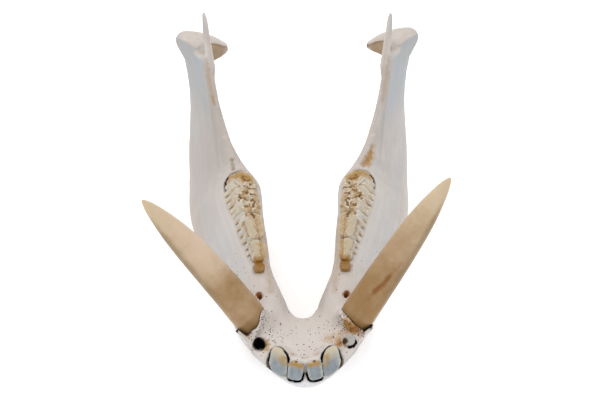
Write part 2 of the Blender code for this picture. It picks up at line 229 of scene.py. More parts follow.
class FineMesh:
    """A dense closed mesh, moved and painted through arrays in the jaw's millimetres."""

    def __init__(self, piece: bpy.types.Object) -> None:
        """Reads a piece's points and edges.

        Args:
            piece: The object whose mesh is worked on.
        """
        self.piece = piece
        data = piece.data
        self.count = len(data.vertices)
        flat = np.zeros(self.count * 3)
        data.vertices.foreach_get("co", flat)
        self.places = flat.reshape(-1, 3) / MM - JAW_ORIGIN
        ends = np.zeros(len(data.edges) * 2, np.int32)
        data.edges.foreach_get("vertices", ends)
        self.edges = ends.reshape(-1, 2)
        self.degree = np.maximum(np.bincount(ends, minlength=self.count), 1)[:, None]

    def write(self) -> None:
        """Puts the places back into the mesh."""
        moved = (self.places + JAW_ORIGIN) * MM
        self.piece.data.vertices.foreach_set("co", moved.ravel())
        self.piece.data.update()

    def normals(self) -> Array:
        """Brings the mesh up to date and reads its directions.

        Returns:
            The outward direction at each point, one a row.
        """
        self.write()
        flat = np.zeros(self.count * 3)
        self.piece.data.vertices.foreach_get("normal", flat)
        return flat.reshape(-1, 3)

    def neighbour_mean(self, values: Array) -> Array:
        """The mean over each point's neighbours.

        Args:
            values: One row for each point.

        Returns:
            One row for each point.
        """
        a, b = self.edges.T
        sums = [
            np.bincount(a, column[b], self.count) + np.bincount(b, column[a], self.count)
            for column in values.T
        ]
        return np.stack(sums, axis=1) / self.degree

    def relaxed(self, rounds: int, inward: float = 0.5, outward: float = -0.52) -> Array:
        """Where the points lie after smoothing, of which each round draws in and swells out again.

        Args:
            rounds: How many times.
            inward: How far each round draws in.
            outward: How far it swells out again, as a negative number; 0 leaves that out.

        Returns:
            The new places.
        """
        places = self.places.copy()
        for _ in range(rounds):
            places += inward * (self.neighbour_mean(places) - places)
            if outward:
                places += outward * (self.neighbour_mean(places) - places)
        return places

    def relax(self, rounds: int, free: Array | None = None) -> None:
        """Smooths the mesh.

        Args:
            rounds: How many times.
            free: For each point, from 0 where it stays to 1 where it moves.
        """
        target = self.relaxed(rounds)
        share = np.ones(self.count) if free is None else free
        self.places += (target - self.places) * share[:, None]

    def melt(self, rounds: int, free: Array) -> None:
        """Smooths away whole corners, step by step, where the points are free to move.

        Args:
            rounds: How many times.
            free: For each point, from 0 where it stays to 1 where it moves.
        """
        for _ in range(rounds):
            self.places += 0.6 * free[:, None] * (self.neighbour_mean(self.places) - self.places)

    def push(self, amount: Array) -> None:
        """Moves each point out by so many millimetres."""
        self.places += self.normals() * amount[:, None]

    def hollows(self, rounds: int, full: float) -> Array:
        """How deep each point lies in a hollow.

        Args:
            rounds: How far round the point the surface is averaged.
            full: The depth in millimetres that counts as 1.

        Returns:
            From -1 on a ridge to 1 in a pit.
        """
        around = self.relaxed(rounds, 0.6, 0.0)
        depth = np.einsum("ij,ij->i", around - self.places, self.normals())
        return np.clip(depth / full, -1.0, 1.0)

    def gap_to(self, tree: BVHTree, reach: float) -> Array:
        """How far each point is from some surfaces.

        Args:
            tree: The surfaces.
            reach: The limit of the search, in millimetres.

        Returns:
            The distances in millimetres, none over the limit.
        """
        gap = np.full(self.count, reach)
        for i, place in enumerate(self.places):
            distance = tree.find_nearest(jaw_point(*place), reach * MM)[3]
            if distance is not None:
                gap[i] = distance / MM
        return gap

    def paint(self, masks: dict[str, Array]) -> None:
        """Stores numbers for each point, for the materials to read.

        Args:
            masks: By name, one number from 0 to 1 for each point, or one vector for each.
        """
        for name, values in masks.items():
            if values.ndim == 1:
                layer = self.piece.data.attributes.new(name, "FLOAT", "POINT")
                layer.data.foreach_set("value", np.clip(values, 0.0, 1.0).astype(np.float32))
            else:
                layer = self.piece.data.attributes.new(name, "FLOAT_VECTOR", "POINT")
                layer.data.foreach_set("vector", np.ascontiguousarray(values, np.float32).ravel())


@dataclass(frozen=True)
class Curve:
    """A line through space, against which a piece's growth is measured."""

    steps: Array

    @cached_property
    def lengths(self) -> Array:
        """How far along the line each of its steps is."""
        gaps = np.linalg.norm(np.diff(self.steps, axis=0), axis=1)
        return np.concatenate(([0.0], np.cumsum(gaps)))

    def nearest(self, places: Array) -> Array:
        """Which step of the line is closest to each place.

        Args:
            places: Points in the jaw's millimetres.

        Returns:
            The steps' numbers.
        """
        found = np.zeros(len(places), int)
        best = np.full(len(places), 1e18)
        for i, step in enumerate(self.steps):
            far = ((places - step) ** 2).sum(axis=1)
            closer = far < best
            best[closer] = far[closer]
            found[closer] = i
        return found


def merged_copy(node: bpy.types.Object) -> bmesh.types.BMesh:
    """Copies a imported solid's mesh and joins up its loose triangles.

    Args:
        node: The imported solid, which stays as it is.

    Returns:
        The joined copy.
    """
    mesh = bmesh.new()
    mesh.from_mesh(node.data)
    bmesh.ops.remove_doubles(mesh, verts=mesh.verts, dist=WELD * MM)
    return mesh


def join(mesh: bmesh.types.BMesh, body: bmesh.types.BMesh) -> None:
    """Adds one more body to a mesh.

    Args:
        mesh: The bodies so far.
        body: The new one, which is used up.
    """
    data = bpy.data.meshes.new("body")
    body.to_mesh(data)
    body.free()
    mesh.from_mesh(data)
    bpy.data.meshes.remove(data)


def read_places(verts: list[bmesh.types.BMVert]) -> Array:
    """The places of some corners in the jaw's millimetres."""
    return np.array([v.co for v in verts]) / MM - JAW_ORIGIN


def set_places(verts: list[bmesh.types.BMVert], places: Array) -> None:
    """Moves some corners to places in the jaw's millimetres."""
    for vert, place in zip(verts, places):
        vert.co = jaw_point(*place)


def add_ball(mesh: bmesh.types.BMesh, fineness: int) -> tuple[list[bmesh.types.BMVert], Array]:
    """Adds a ball to a mesh, to be bent into another shape.

    Args:
        mesh: The bodies so far.
        fineness: How often its faces are split.

    Returns:
        Its corners, and their places on a ball of radius 1.
    """
    verts = bmesh.ops.create_icosphere(mesh, subdivisions=fineness, radius=1.0)["verts"]
    return verts, np.array([v.co for v in verts])


def add_finger(mesh: bmesh.types.BMesh, start: Array, end: Array, radii: tuple[float, float]) -> None:
    """Adds a closed rounded body that tapers from one place to another.

    Args:
        mesh: The bodies so far.
        start: The middle of the ball at one end, in the jaw's millimetres.
        end: The middle of the ball at the other end.
        radii: The radii of both balls.
    """
    verts, ball = add_ball(mesh, 3)
    far = (ball @ unit(end - start) > 0.0)[:, None]
    set_places(verts, np.where(far, end + ball * radii[1], start + ball * radii[0]))


def grown(name: str, mesh: bmesh.types.BMesh, voxel: float) -> bpy.types.Object:
    """Grows the closed bodies of a mesh together as one even, fine skin.

    Args:
        name: The new piece's name.
        mesh: The bodies, which may overlap. It is used up.
        voxel: How fine the skin is, in millimetres.

    Returns:
        The new piece.
    """
    data = bpy.data.meshes.new(name)
    mesh.to_mesh(data)
    mesh.free()
    piece = bpy.data.objects.new(name, data)
    bpy.context.scene.collection.objects.link(piece)
    skin = piece.modifiers.new("skin", "REMESH")
    skin.mode = "VOXEL"
    skin.voxel_size = voxel * MM
    graph = bpy.context.evaluated_depsgraph_get()
    fine = bpy.data.meshes.new_from_object(piece.evaluated_get(graph), depsgraph=graph)
    piece.modifiers.clear()
    piece.data = fine
    fine.name = name
    bpy.data.meshes.remove(data)
    fine.shade_smooth()
    return piece


def surface_tree(items: list[bpy.types.Object]) -> BVHTree:
    """One search tree over the faces of several objects.

    Args:
        items: The objects.

    Returns:
        The tree, in the frame's metres.
    """
    points: list[Vector] = []
    faces: list[list[int]] = []
    for item in items:
        start = len(points)
        points += [v.co.copy() for v in item.data.vertices]
        faces += [[start + i for i in face.vertices] for face in item.data.polygons]
    return BVHTree.FromPolygons(points, faces)


def finish_piece(fine: FineMesh, node: str, dress: bpy.types.Material) -> bpy.types.Object:
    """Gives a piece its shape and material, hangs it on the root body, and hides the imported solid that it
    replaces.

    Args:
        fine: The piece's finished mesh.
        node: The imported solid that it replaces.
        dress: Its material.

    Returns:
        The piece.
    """
    fine.write()
    piece = fine.piece
    piece.data.materials.clear()
    piece.data.materials.append(dress)
    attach(piece, "root")
    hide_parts(node)
    LOG.info("%s: %d triangles", piece.name, sum(len(f.vertices) - 2 for f in piece.data.polygons))
    return piece


def fill_inputs(tree: bpy.types.NodeTree, node: bpy.types.Node, inputs: dict) -> None:
    """Sets or feeds some of a shader node's inputs.

    Args:
        tree: The material's node tree.
        node: The node.
        inputs: For an input's name or number, its fixed value or the socket that feeds it.
    """
    for name, value in inputs.items():
        if isinstance(value, bpy.types.NodeSocket):
            tree.links.new(value, node.inputs[name])
        else:
            node.inputs[name].default_value = value


def add_node(
    tree: bpy.types.NodeTree, kind: str, inputs: dict | None = None, **settings: str | bool
) -> bpy.types.Node:
    """Adds a shader node.

    Args:
        tree: The material's node tree.
        kind: The node's type, without its ShaderNode prefix.
        inputs: For an input's name or number, its fixed value or the socket that feeds it.
        settings: The node's own properties.

    Returns:
        The node.
    """
    node = tree.nodes.new("ShaderNode" + kind)
    for name, value in settings.items():
        setattr(node, name, value)
    fill_inputs(tree, node, inputs or {})
    return node


@dataclass(frozen=True)
class Layer:
    """A colour laid over the ones below it where a mask allows."""

    colour: str
    mask: str
    strength: float = 1.0
    broken: float = 0.0
    grain: float = 3.0


@dataclass(frozen=True)
class Finish:
    """What all the materials of the jaw share: layers of colour, a fine relief and a gloss."""

    name: str
    light: str
    deep: str
    layers: tuple[Layer, ...]
    roughness: float
    rough_spread: float
    ior: float
    relief: float
    relief_size: float
    line_size: Point
    line_colour: str
    line_strength: float
    line_relief: float = 0.35
    patch_size: float = 30.0
    pit_size: float = 0.0
    pit_colour: str = "000000"
    pit_widths: tuple[float, float] = (0.2, 0.5)
    pit_relief: float = -2.2
    soft: float = 0.0
    soft_depth: float = 1.2
    coat: float = 0.0
    coat_roughness: float = 0.25

    @cached_property
    def material(self) -> bpy.types.Material:
        """Makes the material once. It reads the masks that the pieces were painted with.

        Returns:
            The material.
        """
        made = bpy.data.materials.new(self.name)
        made.use_nodes = True
        Mixture(self, made.node_tree).lay()
        return made


class Mixture:
    """The nodes of one finish's material, laid on from the ground colour up."""

    def __init__(self, finish: Finish, tree: bpy.types.NodeTree) -> None:
        """Starts with the two tones under everything, in soft patches.

        Args:
            finish: What the material looks like.
            tree: The material's node tree.
        """
        self.finish = finish
        self.tree = tree
        self.space = add_node(tree, "TexCoord").outputs["Object"]
        patch = {"Vector": self.space, "Scale": per_metre(finish.patch_size)}
        patch |= {"Detail": 5.0, "Roughness": 0.62, "Distortion": 0.4}
        noise = add_node(tree, "TexNoise", patch).outputs["Fac"]
        spread = add_node(tree, "MapRange", {"Value": noise, "From Min": 0.36, "From Max": 0.64})
        tones = {0: spread.outputs["Result"], 6: linear(finish.light), 7: linear(finish.deep)}
        self.colour = add_node(tree, "Mix", tones, data_type="RGBA").outputs[2]

    def lay(self) -> None:
        """Lays on the lines, the colours and the pits, and sets the relief and the gloss."""
        finish, tree = self.finish, self.tree
        heights = [(self.lay_lines(), finish.line_relief)]
        for layer in finish.layers:
            self.lay_layer(layer)
        grit = {"Vector": self.space, "Scale": per_metre(finish.relief_size), "Detail": 4.0, "Roughness": 0.6}
        height = fine = add_node(tree, "TexNoise", grit).outputs["Fac"]
        if finish.pit_size:
            heights.append((self.lay_pits(), finish.pit_relief))
        for source, share in heights:
            both = {0: source, 1: share, 2: height}
            height = add_node(tree, "Math", both, operation="MULTIPLY_ADD").outputs[0]
        relief = {"Height": height, "Strength": 1.0, "Distance": finish.relief * MM}
        rough = {
            "Value": fine,
            "To Min": finish.roughness - finish.rough_spread,
            "To Max": finish.roughness + finish.rough_spread,
        }
        look = {
            "Base Color": self.colour,
            "Normal": add_node(tree, "Bump", relief).outputs["Normal"],
            "Roughness": add_node(tree, "MapRange", rough).outputs["Result"],
            "IOR": finish.ior,
            "Coat Weight": finish.coat,
            "Coat Roughness": finish.coat_roughness,
            "Subsurface Weight": finish.soft,
            "Subsurface Radius": (1.0, 0.6, 0.4),
            "Subsurface Scale": finish.soft_depth * MM,
        }
        fill_inputs(tree, tree.nodes["Principled BSDF"], look)

    def mix_in(self, tone: str, amount: bpy.types.NodeSocket) -> None:
        """Mixes one more tone into the colour.

        Args:
            tone: Its sRGB hex code.
            amount: How much of it shows.
        """
        mix = {0: amount, 6: self.colour, 7: linear(tone)}
        self.colour = add_node(self.tree, "Mix", mix, data_type="RGBA").outputs[2]

    def lay_lines(self) -> bpy.types.NodeSocket:
        """Draws fine lines that follow the piece's own direction of growth.

        Returns:
            Their strength.
        """
        tree, finish = self.tree, self.finish
        grain = add_node(tree, "Attribute", attribute_name="grain").outputs["Vector"]
        scale = tuple(per_metre(size) for size in finish.line_size)
        turned = add_node(tree, "Mapping", {"Vector": grain, "Scale": scale}).outputs["Vector"]
        streak = {"Vector": turned, "Scale": 1.0, "Detail": 4.0, "Roughness": 0.55}
        noise = add_node(tree, "TexNoise", streak).outputs["Fac"]
        ramp = {"Value": noise, "From Min": 0.42, "From Max": 0.68, "To Max": finish.line_strength}
        spread = add_node(tree, "MapRange", ramp, interpolation_type="SMOOTHSTEP")
        self.mix_in(finish.line_colour, spread.outputs["Result"])
        return noise

    def lay_layer(self, layer: Layer) -> None:
        """Lays one colour on, broken up by noise where it asks for that.

        Args:
            layer: The colour, with its mask.
        """
        tree = self.tree
        mask = add_node(tree, "Attribute", attribute_name=layer.mask).outputs["Fac"]
        if layer.broken:
            grit = {"Vector": self.space, "Scale": per_metre(layer.grain), "Detail": 3.0, "Roughness": 0.6}
            noise = add_node(tree, "TexNoise", grit).outputs["Fac"]
            swing = {"Value": noise, "From Min": 0.35, "From Max": 0.65}
            swing |= {"To Min": -layer.broken, "To Max": layer.broken}
            shift = add_node(tree, "MapRange", swing).outputs["Result"]
            moved = add_node(tree, "Math", {0: mask, 1: shift}, operation="ADD").outputs[0]
            both = {0: mask, 1: moved}
            ragged = add_node(tree, "Math", both, operation="MULTIPLY", use_clamp=True).outputs[0]
            mask = add_node(tree, "Math", {0: ragged}, operation="SQRT").outputs[0]
        share = {0: mask, 1: layer.strength}
        amount = add_node(tree, "Math", share, operation="MULTIPLY", use_clamp=True).outputs[0]
        self.mix_in(layer.colour, amount)

    def lay_pits(self) -> bpy.types.NodeSocket:
        """Makes pinholes for fine vessels where the bone is painted porous, painted dark inside as painted
        shade.

        Returns:
            Their depth.
        """
        tree, finish = self.tree, self.finish
        spacing = {"Vector": self.space, "Scale": per_metre(finish.pit_size), "Randomness": 1.0}
        cells = add_node(tree, "TexVoronoi", spacing, feature="F1")
        porous = add_node(tree, "Attribute", attribute_name="porous").outputs["Fac"]
        chance = add_node(tree, "SeparateColor", {0: cells.outputs["Color"]})
        chosen = add_node(tree, "Math", {0: chance.outputs[0], 1: porous}, operation="LESS_THAN").outputs[0]
        low, high = finish.pit_widths
        size = add_node(tree, "MapRange", {"Value": chance.outputs[1], "To Min": low, "To Max": high})
        depth = {0: size.outputs["Result"], 1: cells.outputs["Distance"]}
        inside = add_node(tree, "Math", depth, operation="SUBTRACT").outputs[0]
        wall = {"Value": inside, "From Min": 0.0, "From Max": 0.12}
        ramp = add_node(tree, "MapRange", wall, interpolation_type="SMOOTHSTEP").outputs["Result"]
        hole = add_node(tree, "Math", {0: chosen, 1: ramp}, operation="MULTIPLY").outputs[0]
        self.mix_in(finish.pit_colour, hole)
        return hole


# Dry bone, cleaned and bleached: chalky, with warm streaks, painted blue-grey shade on the walls that face
# out, painted light on the faces that look up and low on the chin, brown in its holes and hollows that is
# partly dirt and partly painted shade, and painted black shade in its gaps, crevices and empty socket.
BONE = Finish(
    name="dry_bleached_bone",
    light="c1bab3",
    deep="b8afa6",
    layers=(
        Layer("989fa4", "painted_side_shade", 0.95, 0.08, 20.0),
        Layer("a2988e", "warm", 0.8, 0.1, 12.0),
        Layer("cbc3bc", "painted_highlight", 0.6),
        Layer("dfe3e7", "painted_bounce_light", 0.6),
        Layer("98784a", "tan", 0.85, 0.2, 2.4),
        Layer("9c7020", "ochre", 0.9, 0.5, 2.0),
        Layer("743a00", "brown", 1.0, 0.2, 1.2),
        Layer("1a0c05", "rim", 1.0),
        Layer("050303", "black", 1.0),
    ),
    roughness=0.6,
    rough_spread=0.08,
    ior=1.3,
    relief=0.1,
    relief_size=0.9,
    line_size=(45.0, 2.6, 2.6),
    line_colour="aba096",
    line_strength=0.35,
    patch_size=24.0,
    pit_size=1.35,
    pit_colour="33200f",
    soft=0.05,
)

# Tusk ivory, polished by use: satin dentine with fine rings of growth across and faint strain lines along, a
# painted sheen on its upper middle, olive along its lower side that is partly stain and partly painted shade,
# and painted black shade in the gap at its base.
IVORY = Finish(
    name="polished_tusk_ivory",
    light="bba588",
    deep="ad9675",
    layers=(
        Layer("86622f", "base", 0.9, 0.25, 9.0),
        Layer("c3ac95", "painted_top_sheen", 0.8, 0.25, 10.0),
        Layer("c1ad8f", "tip", 0.7, 0.2, 6.0),
        Layer("735a32", "edge", 0.75, 0.2, 7.0),
        Layer("784606", "crack", 0.95, 0.3, 2.5),
        Layer("3f2612", "rim", 0.95, 0.3, 1.0),
        Layer("060302", "black", 1.0),
    ),
    roughness=0.36,
    rough_spread=0.07,
    ior=1.45,
    relief=0.02,
    relief_size=0.8,
    line_size=(1.3, 30.0, 30.0),
    line_colour="957a56",
    line_strength=0.14,
    line_relief=0.2,
    patch_size=22.0,
    soft=0.06,
    coat=0.05,
)

# Front tooth enamel: glassy blue-grey with fine upright lines, stained ochre where it leaves the bone, with
# brown by the bone that is partly stain and partly painted shade and painted black shade in the gaps round
# it.
INCISOR_ENAMEL = Finish(
    name="worn_incisor_enamel",
    light="8b9295",
    deep="788085",
    layers=(
        Layer("b8b7b0", "pale", 0.8, 0.35, 2.0),
        Layer("c4b596", "cream", 0.9, 0.2, 3.0),
        Layer("98700e", "ochre", 0.85, 0.5, 3.0),
        Layer("5f3008", "brown", 1.0, 0.3, 1.0),
        Layer("080403", "black", 1.0),
    ),
    roughness=0.3,
    rough_spread=0.07,
    ior=1.4,
    relief=0.03,
    relief_size=0.7,
    line_size=(1.0, 12.0, 14.0),
    line_colour="747c84",
    line_strength=0.45,
    patch_size=6.0,
    soft=0.08,
    coat=0.05,
)

# Cheek tooth enamel and cement: cream ridges with a painted highlight on the small ones, over tan, with brown
# food stain in the pits, tan and brown painted shade in the hollows and furrows, and painted black shade in
# the deepest hollows and the crevice behind the last molar.
CHEEK_ENAMEL = Finish(
    name="worn_cheek_tooth_enamel",
    light="bfb5a2",
    deep="ac9876",
    layers=(
        Layer("aeaba2", "grey", 0.8, 0.25, 3.0),
        Layer("a8997c", "leaf", 0.7, 0.4, 3.0),
        Layer("d2ccc0", "painted_highlight", 0.8, 0.2, 1.5),
        Layer("9b7428", "tan", 0.85, 0.5, 2.2),
        Layer("855b0a", "stub", 0.95, 0.3, 2.0),
        Layer("744c0c", "brown", 0.95, 0.4, 1.0),
        Layer("120904", "black", 0.95),
    ),
    roughness=0.38,
    rough_spread=0.08,
    ior=1.4,
    relief=0.05,
    relief_size=0.7,
    line_size=(14.0, 1.0, 3.0),
    line_colour="978260",
    line_strength=0.35,
    patch_size=5.0,
    soft=0.06,
    coat=0.06,
)

# Matte white background paper, which throws light up under the jaw.
PAPER_COLOUR = "fafafa"


class Kind(Enum):
    """The teeth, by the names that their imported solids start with."""

    TUSK = "tusk"
    FIRST_INCISOR = "first_incisor"
    SECOND_INCISOR = "second_incisor"
    THIRD_INCISOR = "third_incisor"
    PREMOLAR = "premolar"
    FIRST_MOLAR = "first_molar"
    SECOND_MOLAR = "second_molar"
    THIRD_MOLAR = "third_molar"


# How far the corners of a solid at some places are pushed out.
Swell = Callable[[Array], Array]


@dataclass
class Tooth:
    """What all the teeth share: their solid, and how the bone closes in on them."""

    kind: Kind
    side: Side
    fine: FineMesh = field(init=False, repr=False)

    @property
    def node(self) -> str:
        """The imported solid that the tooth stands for."""
        return f"{self.kind.value}_{self.side.label}"

    def mirror(self, places: Array | Point) -> Array:
        """Places on the tooth's own side from places on the left side, or the other way round."""
        return np.array(places, float) * (self.side.value, 1.0, 1.0)

    def plug(self, nodes: Nodes, swell: Swell, point: Array, up: Array) -> bmesh.types.BMesh:
        """A swollen copy of the tooth's solid, cut off at a plane, which closes the gap round it in the bone.

        Args:
            nodes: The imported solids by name.
            swell: Says how far the corners at some places are pushed out, in millimetres.
            point: A place in the plane, in the jaw's millimetres.
            up: The side of the plane that is cut away.

        Returns:
            The closed plug.
        """
        plug = merged_copy(nodes[self.node])
        plug.normal_update()
        outs = np.array([v.normal for v in plug.verts])
        places = read_places(plug.verts)
        set_places(plug.verts, places + outs * swell(places)[:, None])
        cut = bmesh.ops.bisect_plane(
            plug,
            geom=plug.verts[:] + plug.edges[:] + plug.faces[:],
            plane_co=jaw_point(*point),
            plane_no=Vector(up),
            clear_outer=True,
        )
        rim = [item for item in cut["geom_cut"] if isinstance(item, bmesh.types.BMEdge)]
        bmesh.ops.edgeloop_fill(plug, edges=rim)
        return plug


def even_swell(places: Array) -> Array:
    """The same small swell everywhere, of 0.6 mm."""
    return np.full(len(places), 0.6)


@dataclass
class Tusk(Tooth):
    """One lower tusk: a tapered, gently bent horn of ivory.

    Its places are given for the left side.
    """

    bend: Point
    tip: Point
    cracked: bool
    collar_drop: float = 5.6
    rim_drop: float = 1.4
    base_reach: tuple[float, float] = (0.85, 0.1)
    base_depth: float = 1.0
    base_band: float = 0.0
    painted_top_sheen: float = 0.1
    rim_stain: float = 0.85
    neck: Point = (42.6, 60.0, 57.5)
    voxel: float = 0.85
    half_width: float = 13.5
    collar_tilt: float = 0.3
    lip_rise: float = 8.0
    bone_reach: float = 3.0
    crack: tuple[Point, ...] = (
        (48.9, 58.7, 76.4),
        (54.6, 61.3, 81.9),
        (60.3, 63.7, 86.6),
        (64.8, 66.5, 91.9),
        (74.3, 71.6, 100.6),
    )

    @cached_property
    def directions(self) -> tuple[Array, Array, Array]:
        """The tusk's own directions where it leaves the bone.

        Returns:
            Along the tusk, out towards its lower side, and to the front.
        """
        ahead = unit(self.mirror(self.bend) - self.mirror(self.neck))
        front = np.array((0.0, -1.0, 1.0))
        front = unit(front - (front @ ahead) * ahead)
        return ahead, self.side.value * np.cross(ahead, front), front

    def measured(self, places: Array) -> tuple[Array, Array, Array]:
        """How far along, outward and to the front places are from the neck."""
        off = places - self.mirror(self.neck)
        return tuple(off @ way for way in self.directions)

    def slid(self, places: Array) -> Array:
        """Slides the bone's rim down the tusk on its lower front side, and draws the lip up round it.

        Args:
            places: Points of the bone.

        Returns:
            Their new places.
        """
        along, out, front = self.measured(places)
        down = smooth_step(out, -9.0, 1.0) * smooth_step(out, 12.5, 9.5) * smooth_step(front, -1.0, 4.0)
        lip = smooth_step(out, 9.5, 12.0) * smooth_step(front, -6.0, 0.0) * smooth_step(along, -16.0, -7.0)
        near = smooth_step(np.hypot(out, front), 28.0, 16.0) * smooth_step(along, 12.0, 4.0)
        amount = self.lip_rise * lip - self.rim_drop * down * smooth_step(along, -18.0, -9.0)
        return places + np.outer(amount * near, self.directions[0])

    def open_gap(self, places: Array, gap: Array) -> Array:
        """Where the bone stands off from the tusk and a dark gap shows.

        Args:
            places: Points of the bone or the tusk.
            gap: How far each is from the other one's surface.

        Returns:
            From 0 to 1 for each point.
        """
        along, out, front = self.measured(places)
        arc = smooth_step(out, 7.5, 9.5) * smooth_step(front, -4.0, 0.0)
        arc *= smooth_step(along, 9.0, 6.0) * smooth_step(along, -11.5, -10.0)
        return arc * smooth_step(gap, 1.7, 0.9)

    def push_bone(self, bone: FineMesh, gap: Array, found: Array) -> None:
        """Pushes the bone off from the tusk where a dark gap shows.

        Args:
            bone: The bone's mesh.
            gap: Each of its points' distance from the nearest tooth.
            found: How open the gaps are at each point, which is brought up to date.
        """
        places = bone.places
        mine = np.flatnonzero(np.linalg.norm(places - self.mirror(self.neck), axis=1) < 26.0)
        found[mine] = np.maximum(found[mine], self.open_gap(places[mine], gap[mine]))
        own = self.open_gap(places[mine], 0.0 * mine)
        _, out, front = self.measured(places[mine])
        way = np.outer(out, self.directions[1]) + np.outer(front, self.directions[2])
        places[mine] += own[:, None] * 1.2 * way / np.hypot(out, front)[:, None]

    def collar(self, nodes: Nodes) -> bmesh.types.BMesh:
        """Closes most of the gap round the tusk's root in the bone.

        Args:
            nodes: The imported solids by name.

        Returns:
            The plug.
        """
        ahead, out, _ = self.directions
        top = self.mirror(self.neck) - ahead * self.collar_drop
        return self.plug(nodes, even_swell, top, unit(ahead + self.collar_tilt * out))

    def shape(self, nodes: Nodes) -> None:
        """Makes the tusk's mesh.

        Args:
            nodes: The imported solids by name.
        """
        self.fine = FineMesh(grown(f"ivory_{self.node}", merged_copy(nodes[self.node]), self.voxel))
        self.fine.relax(24)
        self.measure()
        self.carve()
        self.fine.write()

    def measure(self) -> None:
        """Finds how far along from the neck each point is, its angle round the tusk, and its share of it."""
        neck, bend, tip = self.mirror(self.neck), self.mirror(self.bend), self.mirror(self.tip)
        shares = np.linspace(-0.3, 1.0, 261)[:, None]
        curve = Curve(neck * (1 - shares) ** 2 + bend * 2 * shares * (1 - shares) + tip * shares**2)
        nearest = curve.nearest(self.fine.places)
        flat = unit(np.cross(tip - neck, (0.0, 1.0, -1.0)))
        deep = unit(np.cross(tip - neck, flat))
        off = self.fine.places - curve.steps[nearest]
        self.along = curve.lengths[nearest] - np.interp(0.0, shares[:, 0], curve.lengths)
        self.around = np.arctan2(off @ deep, off @ flat)
        self.share = shares[nearest, 0]
        girth = self.half_width * np.interp(self.share, (0.0, 0.54, 0.87, 1.0), (1.0, 0.87, 0.47, 0.1))
        self.low = -self.side.value * (off @ flat) / girth

    def carve(self) -> None:
        """Shallow flutes along the tusk and soft swellings of growth across it."""
        around = np.stack((np.cos(self.around), np.sin(self.around)), axis=1)
        ring = np.column_stack((self.along / 9.0, 1.5 * around))
        flute = np.column_stack((self.along / 60.0, 4.0 * around))
        seed = 30 + self.side.value
        amount = 0.07 * lattice_noise(ring, 1.0, seed) + 0.12 * lattice_noise(flute, 1.0, seed + 5)
        self.fine.push(amount * smooth_step(1.0 - self.share, 0.0, 0.12))

    def crack_mask(self) -> Array:
        """Draws the old brown crack along the left tusk.

        Returns:
            From 0 to 1 for each point.
        """
        crack = np.zeros(self.fine.count)
        if self.cracked:
            crack += Stroke(self.crack, 3.0, 0.35, 0.4).weight(self.fine.places, 41)
            crack += Stroke(self.crack[1:4], 3.2, 0.8, 0.4).weight(self.fine.places, 42)
        return crack

    def finish(self, bone: BVHTree) -> None:
        """Stains the tusk, paints its light and shade, and dresses it.

        Args:
            bone: The finished bone's surface.
        """
        fine, share = self.fine, self.share
        gap = fine.gap_to(bone, self.bone_reach)
        top = smooth_step(fine.normals()[:, 2], 0.3, 0.8)
        band = self.base_band * np.exp(-(((share - 0.24) / 0.1) ** 2))
        edge = smooth_step(self.low, 0.4, 0.9) * smooth_step(share, 0.95, 0.7) * smooth_step(share, 0.05, 0.3)
        turns = (self.along, self.half_width * np.cos(self.around), self.half_width * np.sin(self.around))
        # The sheen on the upper middle is a painted highlight, and the olive along the lower side is partly
        # stain and partly painted shade. A dark brown line is painted where the tusk meets the bone, and the
        # black in the open gap at its base is painted shade.
        fine.paint(
            {
                "grain": np.column_stack(turns) * MM,
                "base": self.base_depth * smooth_step(share, *self.base_reach) + band,
                "painted_top_sheen": smooth_step(share, 0.25, 0.5) * smooth_step(share, 0.95, 0.65) * top * self.painted_top_sheen,
                "tip": smooth_step(share, 0.6, 1.0),
                "edge": edge,
                "crack": self.crack_mask(),
                "rim": smooth_step(gap, 1.3, 0.2) * self.rim_stain,
                "black": 0.9 * self.open_gap(fine.places, gap + 0.9),
            }
        )
        finish_piece(fine, self.node, IVORY.material)


# One amount for all points of a mesh, or one for each.
Share = Array | float


